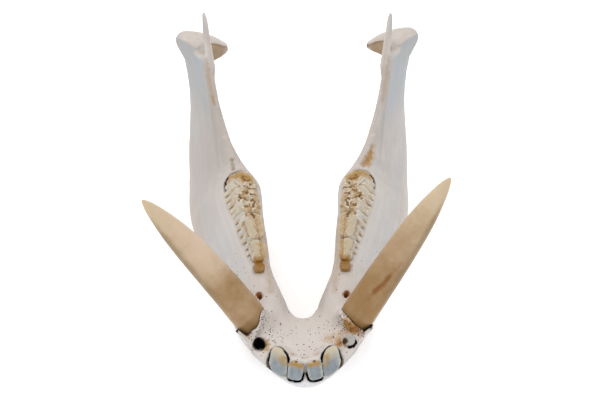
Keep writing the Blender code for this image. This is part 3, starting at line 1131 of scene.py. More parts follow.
@dataclass
class FrontTooth(Tooth):
    """One worn front tooth: a leaning block with a flat top that lies nearly level with the bone."""

    neck: Point
    crown_lean: Point
    crown: float
    half_width: float
    depths: tuple[float, float]
    squareness: float
    open_side: tuple[float, float]
    ochre_band: tuple[float, float]
    shift: float = 0.0
    skew: float = 0.0
    core: float = 0.92
    taper: float = 0.0
    gap_push: float = 0.75
    gap_width: float = 1.9
    root_depth: float = -7.0
    voxel: float = 0.42
    fan_centre: float = 60.0
    bone_reach: float = 3.0

    def __post_init__(self) -> None:
        """Works out the tooth's own directions."""
        self.foot = self.mirror(self.neck)
        self.lean = unit(self.mirror(self.crown_lean))
        outward = np.array((self.foot[0], self.foot[1] - self.fan_centre, 0.0))
        self.across = unit(np.cross(self.lean, outward))
        self.ahead = np.cross(self.across, self.lean)
        if self.across[0] * self.side.value < 0.0:
            self.across = -self.across
        self.seed = int(abs(self.neck[0])) + 7 * self.side.value

    def measured(self, places: Array) -> tuple[Array, Array, Array]:
        """Turns places into the tooth's own measures.

        Args:
            places: Points in the jaw's millimetres.

        Returns:
            How far up the tooth, out from its middle and forward they are.
        """
        off = places - self.foot
        deep = off @ self.ahead
        return off @ self.lean, off @ self.across - self.shift - self.skew * deep, deep

    def place(self, rise: Array | float, wide: Array | float, deep: Array | float) -> Array:
        """Turns the tooth's own measures into places.

        Args:
            rise: How far up the tooth.
            wide: How far out from its middle.
            deep: How far forward.

        Returns:
            The places in the jaw's millimetres.
        """
        wide = np.add(wide, self.shift) + np.multiply(deep, self.skew)
        ways = ((rise, self.lean), (wide, self.across), (deep, self.ahead))
        return self.foot + sum(np.multiply.outer(length, way) for length, way in ways)

    def open_gap(self, places: Array) -> Array:
        """Where the bone stands off from the tooth, by the angle round it.

        Args:
            places: Points of the bone or the tooth.

        Returns:
            From 0 to 1 for each point.
        """
        _, wide, deep = self.measured(places)
        angle = np.degrees(np.arctan2((deep - sum(self.depths) / 2) * 0.8, wide))
        centre, half = self.open_side
        off = np.abs((angle - centre + 180.0) % 360.0 - 180.0)
        return smooth_step(half - off, -4.0, 10.0)

    def push_bone(self, bone: FineMesh, gap: Array, found: Array) -> None:
        """Pushes the bone off from the tooth where a dark gap shows.

        Args:
            bone: The bone's mesh.
            gap: Each of its points' distance from the nearest tooth.
            found: How open the gaps are at each point, which is brought up to date.
        """
        places = bone.places
        near = np.flatnonzero(gap < 3.5)
        off = np.linalg.norm(places[near] - self.place(self.crown - 2.0, 0.0, 1.0), axis=1)
        mine = near[off < 16.0]
        tree = surface_tree([self.fine.piece])
        own_gap = np.array([tree.find_nearest(jaw_point(*places[i]))[3] / MM for i in mine])
        own = smooth_step(own_gap, self.gap_width, self.gap_width - 0.7) * self.open_gap(places[mine])
        found[mine] = np.maximum(found[mine], own)
        off = places[mine] - self.place(0.0, 0.0, 1.0)
        off -= (off @ self.lean)[:, None] * self.lean
        places[mine] += own[:, None] * self.gap_push * off / np.linalg.norm(off, axis=1)[:, None]

    def collar(self, nodes: Nodes) -> bmesh.types.BMesh:
        """The plug that lets the bone rise round the tooth, up to its worn top behind and less in front.

        Args:
            nodes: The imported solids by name.

        Returns:
            The plug.
        """
        behind = self.place(self.crown - 0.2, 0.0, -7.0)
        front = self.place(-2.0, 0.0, 3.0)
        up = unit(np.cross(self.across * self.side.value, front - behind))
        up = up if up @ self.lean > 0.0 else -up

        def swell(places: Array) -> Array:
            """The collar is wider further down."""
            return 0.6 + np.clip(0.32 * (self.crown - self.measured(places)[0]), 0.0, 3.0)

        return self.plug(nodes, swell, behind, up)

    def shape(self, nodes: Nodes) -> None:
        """Makes the tooth's mesh: its slimmed solid, with the worn block grown over it.

        Args:
            nodes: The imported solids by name.
        """
        mesh = merged_copy(nodes[self.node])
        off = read_places(mesh.verts) - self.foot
        upright = (off @ self.lean)[:, None] * self.lean
        set_places(mesh.verts, self.foot + upright + (off - upright) * self.core)
        self.add_block(mesh)
        self.fine = FineMesh(grown(f"enamel_{self.node}", mesh, self.voxel))
        self.fine.relax(9)
        self.carve()
        self.fine.write()

    def add_block(self, mesh: bmesh.types.BMesh) -> None:
        """Adds the block, which starts as a round bar and gets the tooth's squarish outline.

        Args:
            mesh: The tooth's bodies so far.
        """
        made = bmesh.ops.create_cone(mesh, cap_ends=True, segments=36, radius1=1.0, radius2=1.0, depth=2.0)
        ring = np.array([v.co for v in made["verts"]])
        outline, top = ring[:, :2], ring[:, 2] > 0.0
        square = np.sign(outline) * np.abs(outline) ** self.squareness
        scale = np.where(top, 0.97, 0.86)
        low, high = self.depths
        wide = square[:, 0] * self.half_width * scale * (1.0 + self.taper * square[:, 1])
        deep = (low + high) / 2 + square[:, 1] * (high - low) / 2 * scale
        set_places(made["verts"], self.place(np.where(top, self.crown, self.root_depth), wide, deep))

    def carve(self) -> None:
        """Wears the top a little hollow, and gives the sides fine upright ribs."""
        fine, seed = self.fine, self.seed
        rise, wide, deep = self.measured(fine.places)
        ribs = np.column_stack((rise / 20.0, wide / 1.9, deep / 9.0))
        amount = 0.10 * lattice_noise(ribs, 1.0, seed) + 0.13 * lattice_noise(fine.places, 3.4, seed + 1)
        middle = sum(self.depths) / 2
        reach = np.hypot(wide / self.half_width, (deep - middle) / (self.depths[1] - middle))
        worn = smooth_step(rise, self.crown - 2.0, self.crown - 0.4)
        chips = smooth_step(reach, 0.8, 1.15) * (lattice_noise(fine.places, 4.0, seed + 2) > 0.1)
        amount -= 0.55 * worn * smooth_step(reach, 0.95, 0.2)
        amount -= 0.7 * worn * chips
        fine.push(amount * smooth_step(rise, -6.0, -1.0))

    def marks(self, wide: Array, deep: Array, wander: Array) -> tuple[Share, Share, Share]:
        """The marks that only this kind of tooth has.

        Args:
            wide: How far out from the tooth's middle each point is.
            deep: How far forward it is.
            wander: What makes the stains' edges uneven.

        Returns:
            How far the ochre reaches across, the small brown hole, and the black dot in it, which is painted
            shade.
        """
        if self.kind is Kind.FIRST_INCISOR:
            spot = np.hypot(wide - 0.6, (deep - self.depths[0] - 0.5) * 0.9)
            return 1.0, smooth_step(spot, 1.7, 0.7), 0.0
        if self.kind is Kind.SECOND_INCISOR:
            return 0.62 * smooth_step(wide + wander, 3.5, -3.0), 0.0, 0.0
        spot = np.hypot(wide + 3.0, deep + 1.8)
        return 1.0, smooth_step(spot, 3.0, 1.8), smooth_step(spot, 1.8, 1.0)

    def finish(self, bone: BVHTree) -> None:
        """Stains the tooth, paints its shade in the gaps, and dresses it.

        Args:
            bone: The finished bone's surface.
        """
        fine, normals = self.fine, self.fine.normals()
        rise, wide, deep = self.measured(fine.places)
        wander = 0.9 * lattice_noise(fine.places, 3.5, self.seed + 3)
        stained = deep + wander
        across, hole, dot = self.marks(wide, deep, wander)
        top = smooth_step(normals @ self.lean, 0.5, 0.85)
        wall = 1.0 - top
        gap = fine.gap_to(bone, self.bone_reach)
        open_side = self.open_gap(fine.places)
        deep_gap = smooth_step(gap, 2.4, 1.6) * smooth_step(normals @ self.ahead, -0.7, -0.1)
        below = smooth_step(rise, self.crown - 0.5, self.crown - 1.3)
        start, end = self.ochre_band
        band = smooth_step(stained, start - 1.0, start + 1.2) * smooth_step(stained, end + 1.6, end - 1.6)
        edge = 0.6 * smooth_step(np.abs(wide) / self.half_width + 0.15 * wander, 0.5, 1.0)
        tip = 0.3 * smooth_step(deep, self.depths[1] - 3.0, self.depths[1])
        worn = self.kind is Kind.THIRD_INCISOR
        # The wall in the open gap is painted black where the bone is near, as is the dot in the small tooth's
        # hole: painted shade. The brown on the wall by the bone is partly stain and partly painted shade.
        fine.paint(
            {
                "grain": np.stack((wide, deep, rise), axis=1) * MM,
                "pale": edge + wall * (1.0 - open_side) + tip + 0.2 * worn,
                "cream": 0.9 * smooth_step(stained, end + 2.0, start - 1.0) * top + 0.3 * worn,
                "ochre": band * across * top,
                "brown": hole + 0.9 * smooth_step(gap, 0.9, 0.2) * wall * open_side,
                "black": wall * open_side * below * deep_gap + dot,
            }
        )
        finish_piece(fine, self.node, INCISOR_ENAMEL.material)


@dataclass(frozen=True)
class Finger:
    """A leaning pillar of enamel, from a place low in the tooth to one near its worn top.

    X is counted from the jaw's middle plane towards the cheek.
    """

    low: Point
    high: Point
    radii: tuple[float, float]


def chain(radii: tuple[float, ...], *places: Point) -> tuple[Finger, ...]:
    """Fingers from each place to the next, which form one rounded ridge."""
    pairs = zip(places, places[1:], radii, radii[1:])
    return tuple(Finger(start, end, (low, high)) for start, end, low, high in pairs)


def seen_from_above(*places: tuple[float, float], width: float, amount: float, ragged: float) -> Stroke:
    """A mark on a worn crown, which is given without heights.

    Args:
        places: X and Y of each of its points.
        width: The mark's width.
        amount: Its strength.
        ragged: How uneven its edge is.

    Returns:
        The mark, for places whose height is set to 0.
    """
    return Stroke(tuple((x, y, 0.0) for x, y in places), width, amount, ragged)


# The crevice behind the last molar: carved into the bone, and painted black on bone and tooth as painted
# shade.
REAR_CREVICE = Stroke(
    ((59.8, 206.4, 63.0), (61.3, 203.0, 62.2), (62.0, 199.5, 61.6), (62.0, 194.5, 61.6)),
    width=2.5,
    amount=2.4,
    ragged=0.1,
)


@dataclass
class CheekTooth(Tooth):
    """One cheek tooth, built up from leaning pillars and worn from above."""

    front: float
    rear: float
    heights: tuple[float, float]
    fingers: tuple[Finger, ...]
    crinkle: float
    lumps: float
    pits: tuple[Stroke, ...] = ()
    tans: tuple[Stroke, ...] = ()
    core: Point = (0.97, 1.0, 1.0)
    leaf: Stroke | None = None
    voxel: float = 0.45
    margin: float = 62.0
    tilt: float = 0.40
    collar_top: float = 62.3
    bone_reach: float = 3.0
    centres: tuple[tuple[float, float], ...] = (
        (99.0, 33.5),
        (112.0, 35.2),
        (132.0, 38.4),
        (148.0, 41.4),
        (163.0, 44.4),
        (180.0, 47.8),
        (210.0, 52.4),
    )

    def centre_at(self, y: Array, rise: Array) -> Array:
        """The middle of the row, out from the jaw's middle plane, at some heights over the bone."""
        ys, xs = zip(*self.centres)
        return np.interp(y, ys, xs) - rise * self.tilt

    @cached_property
    def valleys(self) -> tuple[Stroke, ...]:
        """Finds the furrows between neighbouring pillars of the cheek side.

        Returns:
            The furrows, seen from above.
        """
        outer = [finger for finger in self.fingers if finger.low[0] - finger.high[0] > 3.0]
        found = []
        for one, two in zip(outer, outer[1:]):
            ends = (np.array((one.low, one.high)) + (two.low, two.high)) / 2 * (1.0, 1.0, 0.0)
            found.append(Stroke(tuple(map(tuple, ends)), 1.5, 0.25 + 0.6 * (len(found) % 2), 0.7))
        return tuple(found[1:])

    def push_bone(self, bone: FineMesh, gap: Array, found: Array) -> None:
        """Leaves the bone as it is, because it closes in on the cheek teeth all round."""

    def collar(self, nodes: Nodes) -> bmesh.types.BMesh:
        """The plug that closes the gap round the tooth, so that it stands straight in the bone."""
        top = np.array((0.0, self.front, self.collar_top))
        return self.plug(nodes, even_swell, top, np.array((0.0, 0.0, 1.0)))

    def shape(self, nodes: Nodes) -> None:
        """Makes the tooth's mesh: its solid, with the pillars grown over it.

        Args:
            nodes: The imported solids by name.
        """
        mesh = merged_copy(nodes[self.node])
        places = self.mirror(read_places(mesh.verts))
        rise = places[:, 2] - self.margin
        middle = self.centre_at(places[:, 1], rise)
        mid_y = (self.front + self.rear) / 2
        wide, long, high = self.core
        places[:, 0] = middle + (places[:, 0] - middle) * wide
        places[:, 1] = mid_y + (places[:, 1] - mid_y) * long
        places[:, 2] = self.margin + np.where(rise > 0.0, rise * high, rise)
        set_places(mesh.verts, self.mirror(places))
        for finger in self.fingers:
            ends = self.mirror((finger.low, finger.high))
            ends += 0.35 * np.stack([lattice_noise(ends + 9.0 * k, 5.0, 60 + k) for k in range(3)], axis=1)
            add_finger(mesh, ends[0], ends[1], finger.radii)
        self.fine = FineMesh(grown(f"enamel_{self.node}", mesh, self.voxel))
        self.fine.relax(3)
        self.wear_down()
        self.fine.write()

    def wear_down(self) -> None:
        """Crinkles the enamel and planes the crown down to the height of wear."""
        fine = self.fine
        seed = int(self.front) + self.side.value
        crumple = lattice_noise(fine.places, 1.9, seed) + 0.6 * lattice_noise(fine.places, 1.0, seed + 1)
        rise = fine.places[:, 2] - self.margin
        crumple = self.crinkle * crumple + self.lumps * lattice_noise(fine.places, 4.0, seed + 3)
        fine.push(crumple * smooth_step(rise, -1.0, 2.0))
        level = np.interp(fine.places[:, 1], (self.front, self.rear), self.heights)
        level += 0.35 * lattice_noise(fine.places, 5.0, seed + 2)
        over = np.maximum(fine.places[:, 2] - self.margin - level, 0.0)
        fine.places[:, 2] -= over * 0.9
        above = self.mirror(fine.places) * (1.0, 1.0, 0.0)
        amount = -0.55 * total(self.valleys, above, 75) - 0.8 * total(self.pits, above, 72)
        if self.leaf:
            amount += 0.2 * np.minimum(self.leaf.weight(above, 74), 1.0)
        fine.push(amount * smooth_step(rise, 0.0, 2.0))

    def leaf_mask(self, above: Array, rise: Array) -> Array:
        """The smooth worn leaf of enamel on the crown.

        Args:
            above: The tooth's points on the left side, with their height set to 0.
            rise: How high over the bone each of them is.

        Returns:
            From 0 to 1 for each point.
        """
        if not self.leaf:
            return np.zeros(len(above))
        level = np.interp(above[:, 1], (self.front, self.rear), self.heights)
        leaf = np.minimum(self.leaf.weight(above, 74), 1.0) * smooth_step(rise - level, -1.6, -0.6)
        return smooth_step(leaf, 0.1, 0.9)

    def finish(self, bone: BVHTree) -> None:
        """Stains the tooth, paints its light and shade, and dresses it.

        Args:
            bone: The finished bone's surface.
        """
        fine = self.fine
        gap = fine.gap_to(bone, self.bone_reach)
        hollow, small = fine.hollows(14, 0.9), fine.hollows(5, 0.22)
        places = self.mirror(fine.places)
        x, y, z = places.T
        rise = z - self.margin
        outer = x - self.centre_at(y, rise)
        above = places * (1.0, 1.0, 0.0)
        stub = float(self.kind is Kind.PREMOLAR)
        grey = 0.55 if self.kind is Kind.THIRD_MOLAR else 1.0
        valleys, pits = total(self.valleys, above, 75), total(self.pits, above, 72)
        rim = 0.8 * smooth_step(gap, 1.4, 0.3) * smooth_step(outer, 1.0, 4.0) * smooth_step(y, 200.0, 188.0)
        # The small ridges get a painted highlight. The tan and brown in the hollows, the furrows and along
        # the bone are painted shade, and in the pits and marks they are stain. The deepest hollows and the
        # crevice behind the last molar are painted black as painted shade.
        fine.paint(
            {
                "grain": np.stack((y, x, z), axis=1) * MM,
                "grey": smooth_step(outer, 1.5, 5.5) * smooth_step(rise, 0.5, 3.0) * grey,
                "leaf": self.leaf_mask(above, rise),
                "painted_highlight": smooth_step(-small, 0.15, 0.7) * (1.0 - stub),
                "tan": total(self.tans, above, 71) + 0.45 * valleys + 0.5 * smooth_step(hollow, 0.1, 0.7),
                "stub": np.maximum(stub, 0.9 * smooth_step(y, 116.5, 109.0)),
                "brown": 0.9 * pits + 0.1 * valleys + 0.7 * smooth_step(hollow, 0.6, 1.1) + rim,
                "black": 0.4 * smooth_step(hollow, 0.9, 1.0) + REAR_CREVICE.weight(places, 73),
            }
        )
        finish_piece(fine, self.node, CHEEK_ENAMEL.material)


FRONT_RIDGE = Stroke(
    (
        (76.6, 257, 152),
        (75.6, 251, 135),
        (74.4, 247, 122),
        (73.2, 242.5, 109),
        (71.2, 237, 97),
        (70, 230, 81),
        (68, 221, 68),
    ),
    width=4.6,
    amount=0.7,
    ragged=0.15,
)
FRONT_GROOVE = Stroke(
    ((73.5, 251.3, 146), (71.0, 246, 131), (69.5, 241, 118), (66.5, 233.8, 104), (63, 228.5, 93)),
    width=3.2,
    amount=1.1,
    ragged=0.2,
)
# Tan painted along the groove on the front of the ramus.
GROOVE_TAN = Stroke(
    ((75, 254, 154), (74.2, 251.5, 145), (73.2, 248.5, 136), (72, 245.6, 128), (70.4, 241.6, 117)),
    width=3.4,
    amount=0.45,
    ragged=0.2,
)
REAR_PIT = Stroke(
    ((62.3, 221.8, 81.8), (58.8, 216.3, 75.6), (54.5, 212.0, 71.6)),
    width=4.2,
    amount=2.2,
    ragged=0.3,
)
REAR_SLIT = Stroke(((-56.5, 215.9, 76.3), (-55.8, 210.6, 70.9)), width=1.9, amount=2.2, ragged=0.3)
OCHRE_MARKS = (
    Stroke(((39.2, 46.2, 55.5), (35.4, 48.5, 57.6), (32.0, 51.0, 58.0)), width=6.0, amount=1.3, ragged=0.4),
    Stroke(((33.0, 46.5, 53), (26, 42.5, 50.5), (19.5, 43, 49)), width=9.0, amount=0.5, ragged=0.2),
    Stroke(((29.0, 37.5, 51.5), (27.0, 34.0, 52)), width=4.8, amount=1.3, ragged=0.4),
    Stroke(
        ((62.3, 221.8, 81.8), (58.8, 216.3, 75.6), (55.5, 212.5, 72.2)),
        width=4.6,
        amount=1.2,
        ragged=0.5,
    ),
    Stroke(
        ((-29.2, 40.5, 51.5), (-28.4, 35.5, 51.0), (-30.0, 31.0, 50.0)),
        width=3.4,
        amount=1.0,
        ragged=0.5,
    ),
    Stroke(((0.3, 14.5, 50.5),), width=2.6, amount=1.0, ragged=0.4),
    Stroke(((-71.6, 243.9, 123.0), (-70.6, 241.8, 117.5)), width=1.6, amount=0.7, ragged=0.3),
)
TAN_MARKS = (
    GROOVE_TAN,
    Stroke(
        ((25.0, 88, 55), (29.0, 116, 60), (29.4, 138, 59.6), (31, 161, 59.7)),
        width=5.5,
        amount=0.45,
        ragged=0.3,
    ),
    Stroke(((101, 283, 151), (99, 281, 146), (97, 279.6, 138)), width=3.2, amount=0.6, ragged=0.5),
)
# Brown marks: the first two are painted shade under the inner end of the left joint; then brown by the small
# front tooth and by the left tusk's base.
BROWN_MARKS = (
    Stroke(((57.6, 282.0, 145.0), (59.4, 279.0, 143.0)), width=2.4, amount=1.3, ragged=0.4),
    Stroke(
        ((61.0, 279.0, 139.0), (66.0, 277.0, 136.5), (70.0, 275.0, 134.0)),
        width=1.6,
        amount=0.9,
        ragged=0.5,
    ),
    Stroke(((29.2, 36.6, 51.8),), width=2.6, amount=0.9, ragged=0.4),
    Stroke(((38.0, 47.0, 56.0), (41.0, 45.6, 55.0), (44.4, 44.0, 53.6)), width=3.2, amount=0.7, ragged=0.7),
    Stroke(((27.6, 35.0, 52.0),), width=2.4, amount=0.8, ragged=0.4),
)
JOINT_RIDGE = Stroke(
    (
        (100.4, 283.0, 153.0),
        (96.0, 279.3, 154.7),
        (92.5, 277.0, 155.2),
        (87.5, 272.4, 155.0),
        (83.4, 269.2, 153.8),
        (80.8, 273.0, 155.6),
    ),
    width=2.0,
    amount=0.6,
    ragged=0.1,
)
RIGHT_FLANGE = Stroke(((-29.0, 57.0, 59.0),), width=15.0, amount=1.0, ragged=0.0)
POROUS_SPOTS = (
    (-37.6, 47.6, 57.2),
    (-33.7, 51.0, 60.3),
    (-29.1, 56.0, 58.9),
    (-40.7, 43.8, 53.5),
    (-24.0, 46.0, 49.0),
    (28.7, 55.0, 58.5),
    (38.5, 48.0, 58.0),
    (31.0, 48.0, 54.0),
)


@dataclass
class JawBone:
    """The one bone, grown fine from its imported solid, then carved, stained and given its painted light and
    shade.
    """

    teeth: list[Tooth]
    voxel: float = 1.31
    smoothing: int = 27
    gap_reach: float = 7.0
    socket_mouth: Point = (-34.8, 36.5, 52.0)
    socket_floor: Point = (-35.0, 43.5, 42.0)
    socket_radius: float = 5.3
    nerve_hole: tuple[float, float] = (32.4, 81.6)
    nerve_mouth: tuple[float, float] = (34.4, 82.9)
    joint_underside: float = 143.0
    joint_lifts: tuple[float, float] = (0.55, 0.22)
    joint_ledge: tuple[tuple[float, ...], tuple[float, ...]] = (
        (56.0, 60.0, 66.0, 72.0, 80.0),
        (143.0, 146.4, 150.4, 153.2, 155.0),
    )
    grain_line: tuple[Point, ...] = (
        (25, 40, 30),
        (30, 80, 30),
        (37, 112, 31),
        (51, 141, 33),
        (60, 171, 33),
        (67, 202, 33),
        (73, 223, 38),
        (76, 240, 50),
        (79, 252, 70),
        (80, 261, 96),
        (82, 267, 121),
        (83, 270, 145),
    )

    def build(self, nodes: Nodes) -> BVHTree:
        """Makes the bone, which rises round the shaped teeth.

        Args:
            nodes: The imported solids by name.

        Returns:
            The bone's finished surface.
        """
        mesh = merged_copy(nodes["mandible"])
        for tooth in self.teeth:
            join(mesh, tooth.collar(nodes))
        self.fine = FineMesh(grown("jaw_bone", mesh, self.voxel))
        self.smooth()
        self.soften_chin()
        self.bend()
        self.meet_teeth()
        self.carve()
        self.stain()
        return surface_tree([finish_piece(self.fine, "mandible", BONE.material)])

    @cached_property
    def socket_down(self) -> Array:
        """The way down the empty socket."""
        return unit(np.array(self.socket_floor) - self.socket_mouth)

    def socket(self) -> tuple[Array, Array]:
        """Measures from the empty socket, which is a little wider one way.

        Returns:
            How far each point is from its axis, and how far down it.
        """
        off = self.fine.places - self.socket_mouth
        low = off @ np.cross((1.0, 0.0, 0.0), self.socket_down)
        return np.hypot(off[:, 0] / 0.88, (low + 0.8) / 1.15), off @ self.socket_down

    def nerve_holes(self) -> Array:
        """How far each point is from the axis of its side's nerve hole."""
        x, y, _ = self.fine.places.T
        return np.hypot(np.abs(x) - self.nerve_hole[0], y - self.nerve_hole[1])

    def smooth(self) -> None:
        """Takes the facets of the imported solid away, but keeps the thin points and the holes."""
        fine = self.fine
        fine.relax(4)
        _, y, z = fine.places.T
        free = smooth_step(self.socket()[0], 6.0, 10.0)
        free *= np.maximum(smooth_step(self.nerve_holes(), 3.5, 7.0), smooth_step(z, 40.0, 35.0))
        free *= 1.0 - 0.85 * smooth_step(z, 163.0, 172.0)
        free *= 1.0 - 0.85 * smooth_step(y, 270.0, 276.0) * smooth_step(z, 118.0, 130.0)
        fine.relax(self.smoothing, free)

    def soften_chin(self) -> None:
        """Melts the edges of the shelf behind the front teeth."""
        fine = self.fine
        x, y, _ = fine.places.T
        shelf = smooth_step(np.abs(x), 38.0, 28.0) * smooth_step(y, 34.0, 46.0) * smooth_step(y, 104.0, 88.0)
        shelf *= smooth_step(fine.normals()[:, 2], 0.2, 0.5) * smooth_step(self.nerve_holes(), 4.0, 8.0)
        fine.melt(51, shelf * smooth_step(self.socket()[0], 7.0, 11.0))

    def bend(self) -> None:
        """Moves the holes to where they open, and draws the joints' inner ends up to thin wedges."""
        places = self.fine.places
        x, y, z = places.T
        near = np.exp(-((self.nerve_holes() / 7.0) ** 2)) * smooth_step(z, 38.0, 48.0)
        places += near[:, None] * np.stack((1.9 * np.sign(x), np.full(len(x), 1.2), 0.0 * x), axis=1)
        wedge = smooth_step(np.abs(x), 76.0, 70.0) * smooth_step(y, 268.0, 273.0)
        wedge *= smooth_step(z, 120.0, 128.0)
        low = np.maximum(self.joint_underside - z, 0.0)
        places[:, 2] += np.where(x > 0.0, *self.joint_lifts) * low * wedge
        radius, depth = self.socket()
        near = np.exp(-((radius / 9.0) ** 2)) * (np.abs(depth) < 20.0)
        places -= 1.6 * np.outer(near, np.cross((1.0, 0.0, 0.0), self.socket_down))
        places[:, 1] += 2.4 * self.joint_face()

    def joint_face(self) -> Array:
        """Finds the set-back faces under the joints' inner ends.

        Returns:
            From 0 to 1 for each point.
        """
        x, y, z = self.fine.places.T
        across = np.abs(x)
        face = smooth_step(np.interp(across, *self.joint_ledge) - z, -0.2, 1.2)
        face *= smooth_step(z, 122.0, 130.0) * smooth_step(across, 78.0, 74.0)
        return face * smooth_step(y, 283.0, 279.0) * smooth_step(y, 264.0, 268.0)

    def meet_teeth(self) -> None:
        """Slides the rim along the tusks, opens the dark gaps, and smooths the flange by the right tusk."""
        fine = self.fine
        for tooth in self.teeth:
            if isinstance(tooth, Tusk):
                fine.places = tooth.slid(fine.places)
        self.gap = fine.gap_to(surface_tree([tooth.fine.piece for tooth in self.teeth]), self.gap_reach)
        self.open_gap = np.zeros(fine.count)
        for tooth in self.teeth:
            tooth.push_bone(fine, self.gap, self.open_gap)
        flange = np.minimum(2.0 * RIGHT_FLANGE.weight(fine.places, 8), 1.0)
        fine.melt(110, flange * smooth_step(self.gap, 0.5, 3.0))

    def crevices(self) -> Array:
        """The open crevices behind the tooth rows, from 0 up."""
        places = self.fine.places
        return REAR_CREVICE.weight(places, 45) + REAR_CREVICE.mirrored().weight(places, 46)

    def carve(self) -> None:
        """Raises the ridges, sinks the grooves and holes, and roughens the surface a little."""
        fine, gap = self.fine, self.gap
        places = fine.places
        amount = total((FRONT_RIDGE, JOINT_RIDGE), places, 3, True) - total((FRONT_GROOVE,), places, 5, True)
        amount -= total((REAR_PIT, REAR_SLIT), places, 7) + 1.6 * self.open_gap + 1.4 * self.crevices()
        streaks = lattice_noise(self.grain() / (30.0, 3.2, 3.2), 1.0, 11)
        lumps = lattice_noise(places, 13.0, 12) + 0.5 * lattice_noise(places, 6.0, 13)
        amount += (0.09 * streaks + 0.13 * lumps) * smooth_step(gap, 0.5, 3.0)
        amount += 0.15 * np.exp(-(((gap - 2.6) / 1.2) ** 2)) * smooth_step(places[:, 2], 44.0, 50.0)
        radius, depth = self.socket()
        amount += 0.35 * np.exp(-(((radius - 7.0) / 1.6) ** 2)) * (np.abs(depth) < 6.0)
        fine.push(amount)
        sunk = smooth_step(radius, self.socket_radius, self.socket_radius - 1.4)
        sunk *= smooth_step(depth, 1.0, 5.0)
        fine.places += (sunk * 4.0 * (np.abs(depth) < 20.0))[:, None] * self.socket_down

    def grain(self) -> Array:
        """Measures along and across each half of the jaw, for streaks that follow it.

        Returns:
            Three coordinates for each point, in millimetres.
        """
        line = np.array(self.grain_line, float)
        steps = np.concatenate([np.linspace(a, b, 14, endpoint=False) for a, b in zip(line, line[1:])])
        curve = Curve(steps)
        folded = self.fine.places.copy()
        folded[:, 0] = np.abs(folded[:, 0])
        nearest = curve.nearest(folded)
        ahead = np.gradient(steps, axis=0)
        ahead = (ahead / np.linalg.norm(ahead, axis=1)[:, None])[nearest]
        off = folded - steps[nearest]
        aside = np.cross(ahead, (1.0, 0.0, 0.0))
        aside /= np.linalg.norm(aside, axis=1)[:, None]
        parts = [np.einsum("ij,ij->i", off, way) for way in (ahead, aside, np.cross(ahead, aside))]
        parts[0] += curve.lengths[nearest]
        return np.stack(parts, axis=1)

    def stain(self) -> None:
        """Paints the masks that the bone's material reads."""
        fine = self.fine
        grain = self.grain()
        self.normals = fine.normals()
        self.hollow = fine.hollows(9, 0.6)
        self.streak = lattice_noise(grain / (60.0, 7.0, 7.0), 1.0, 27)
        self.streak += 0.5 * lattice_noise(grain / (35.0, 3.0, 3.0), 1.0, 28)
        fine.paint(
            {
                "grain": grain * MM,
                "painted_side_shade": self.painted_side_shade(),
                "warm": self.warm(),
                "painted_highlight": self.painted_highlight(),
                "painted_bounce_light": self.painted_bounce_light(),
                "tan": self.tan(),
                "ochre": total(OCHRE_MARKS, fine.places, 21),
                "brown": self.brown(),
                # Near black in the gaps by the tusks and front teeth, and black in the empty socket and the
                # crevices behind the tooth rows: painted shade.
                "rim": self.open_gap * 1.6,
                "black": self.socket_black() + self.crevices(),
                "porous": self.porous(),
            }
        )

    def blade(self) -> Array:
        """All but the necks of the joints, from 0 to 1."""
        _, y, z = self.fine.places.T
        return 1.0 - smooth_step(z, 146.0, 156.0) * smooth_step(y, 262.0, 258.0)

    def chin(self) -> Array:
        """The chin, from 0 to 1."""
        return smooth_step(self.fine.places[:, 1], 62.0, 44.0)

    def painted_side_shade(self) -> Array:
        """Paints blue-grey shade on the outer walls and the joints' steep sides: painted shade on the faces
        turned away from the light.

        Returns:
            How strongly, for each point.
        """
        x, y, z = self.fine.places.T
        walls = smooth_step(self.normals[:, 0] * np.sign(x), 0.3, 0.8) * smooth_step(z, 5.0, 40.0)
        joints = smooth_step(y, 258.0, 264.0) * smooth_step(self.normals[:, 2], 0.66, 0.45)
        joints *= smooth_step(np.abs(x), 73.0, 88.0)
        depth = 0.4 + 0.46 * smooth_step(z, 75.0, 115.0) + 0.1 * self.streak - 0.05 * np.sign(x)
        return np.maximum(walls * self.blade(), joints) * depth

    def warm(self) -> Array:
        """Streaks the rear blades with warm cream, and the ridge of each one more.

        Returns:
            How strongly, for each point.
        """
        x, y, z = self.fine.places.T
        streaks = 0.3 * smooth_step(self.streak, 0.2, -1.0) + 0.5 * (x < 0.0) * smooth_step(z, 175.0, 80.0)
        ridges = 0.6 * total((FRONT_RIDGE,), self.fine.places, 29, True)
        return streaks * smooth_step(y, 150.0, 200.0) * self.blade() + ridges

    def painted_highlight(self) -> Array:
        """Paints the faces that look up lighter, but for the joints' tops: a painted highlight.

        Returns:
            How strongly, for each point.
        """
        _, y, z = self.fine.places.T
        joint_top = smooth_step(y, 262.0, 268.0) * smooth_step(z, 170.0, 164.0)
        upward = smooth_step(self.normals[:, 2], 0.3, 0.85)
        return upward * (0.8 + 0.2 * self.chin()) * (1.0 - 0.8 * joint_top)

    def painted_bounce_light(self) -> Array:
        """Paints the bone lighter low on the chin and at its front: painted light thrown up from the floor.

        Returns:
            How strongly, for each point.
        """
        _, y, z = self.fine.places.T
        low = 1.3 * smooth_step(self.normals[:, 2], 0.6, 0.0) * smooth_step(z, 54.0, 40.0)
        return (low + smooth_step(y, 7.0, 1.0)) * self.chin()

    def tan(self) -> Array:
        """Lays light brown: painted shade in hollows and at the empty socket's inner edge, partly stain and
        partly painted shade under the joints, and tan in the marks.

        Returns:
            How strongly, for each point.
        """
        places = self.fine.places
        radius, depth = self.socket()
        socket = 0.8 * smooth_step(radius, 8.5, 5.5) * smooth_step(places[:, 0], -33.0, -29.0)
        socket *= np.abs(depth) < 9.0
        hollow = 0.4 * smooth_step(self.hollow, 0.15, 0.9)
        return hollow + total(TAN_MARKS, places, 22, True) + 0.75 * self.joint_face() + socket

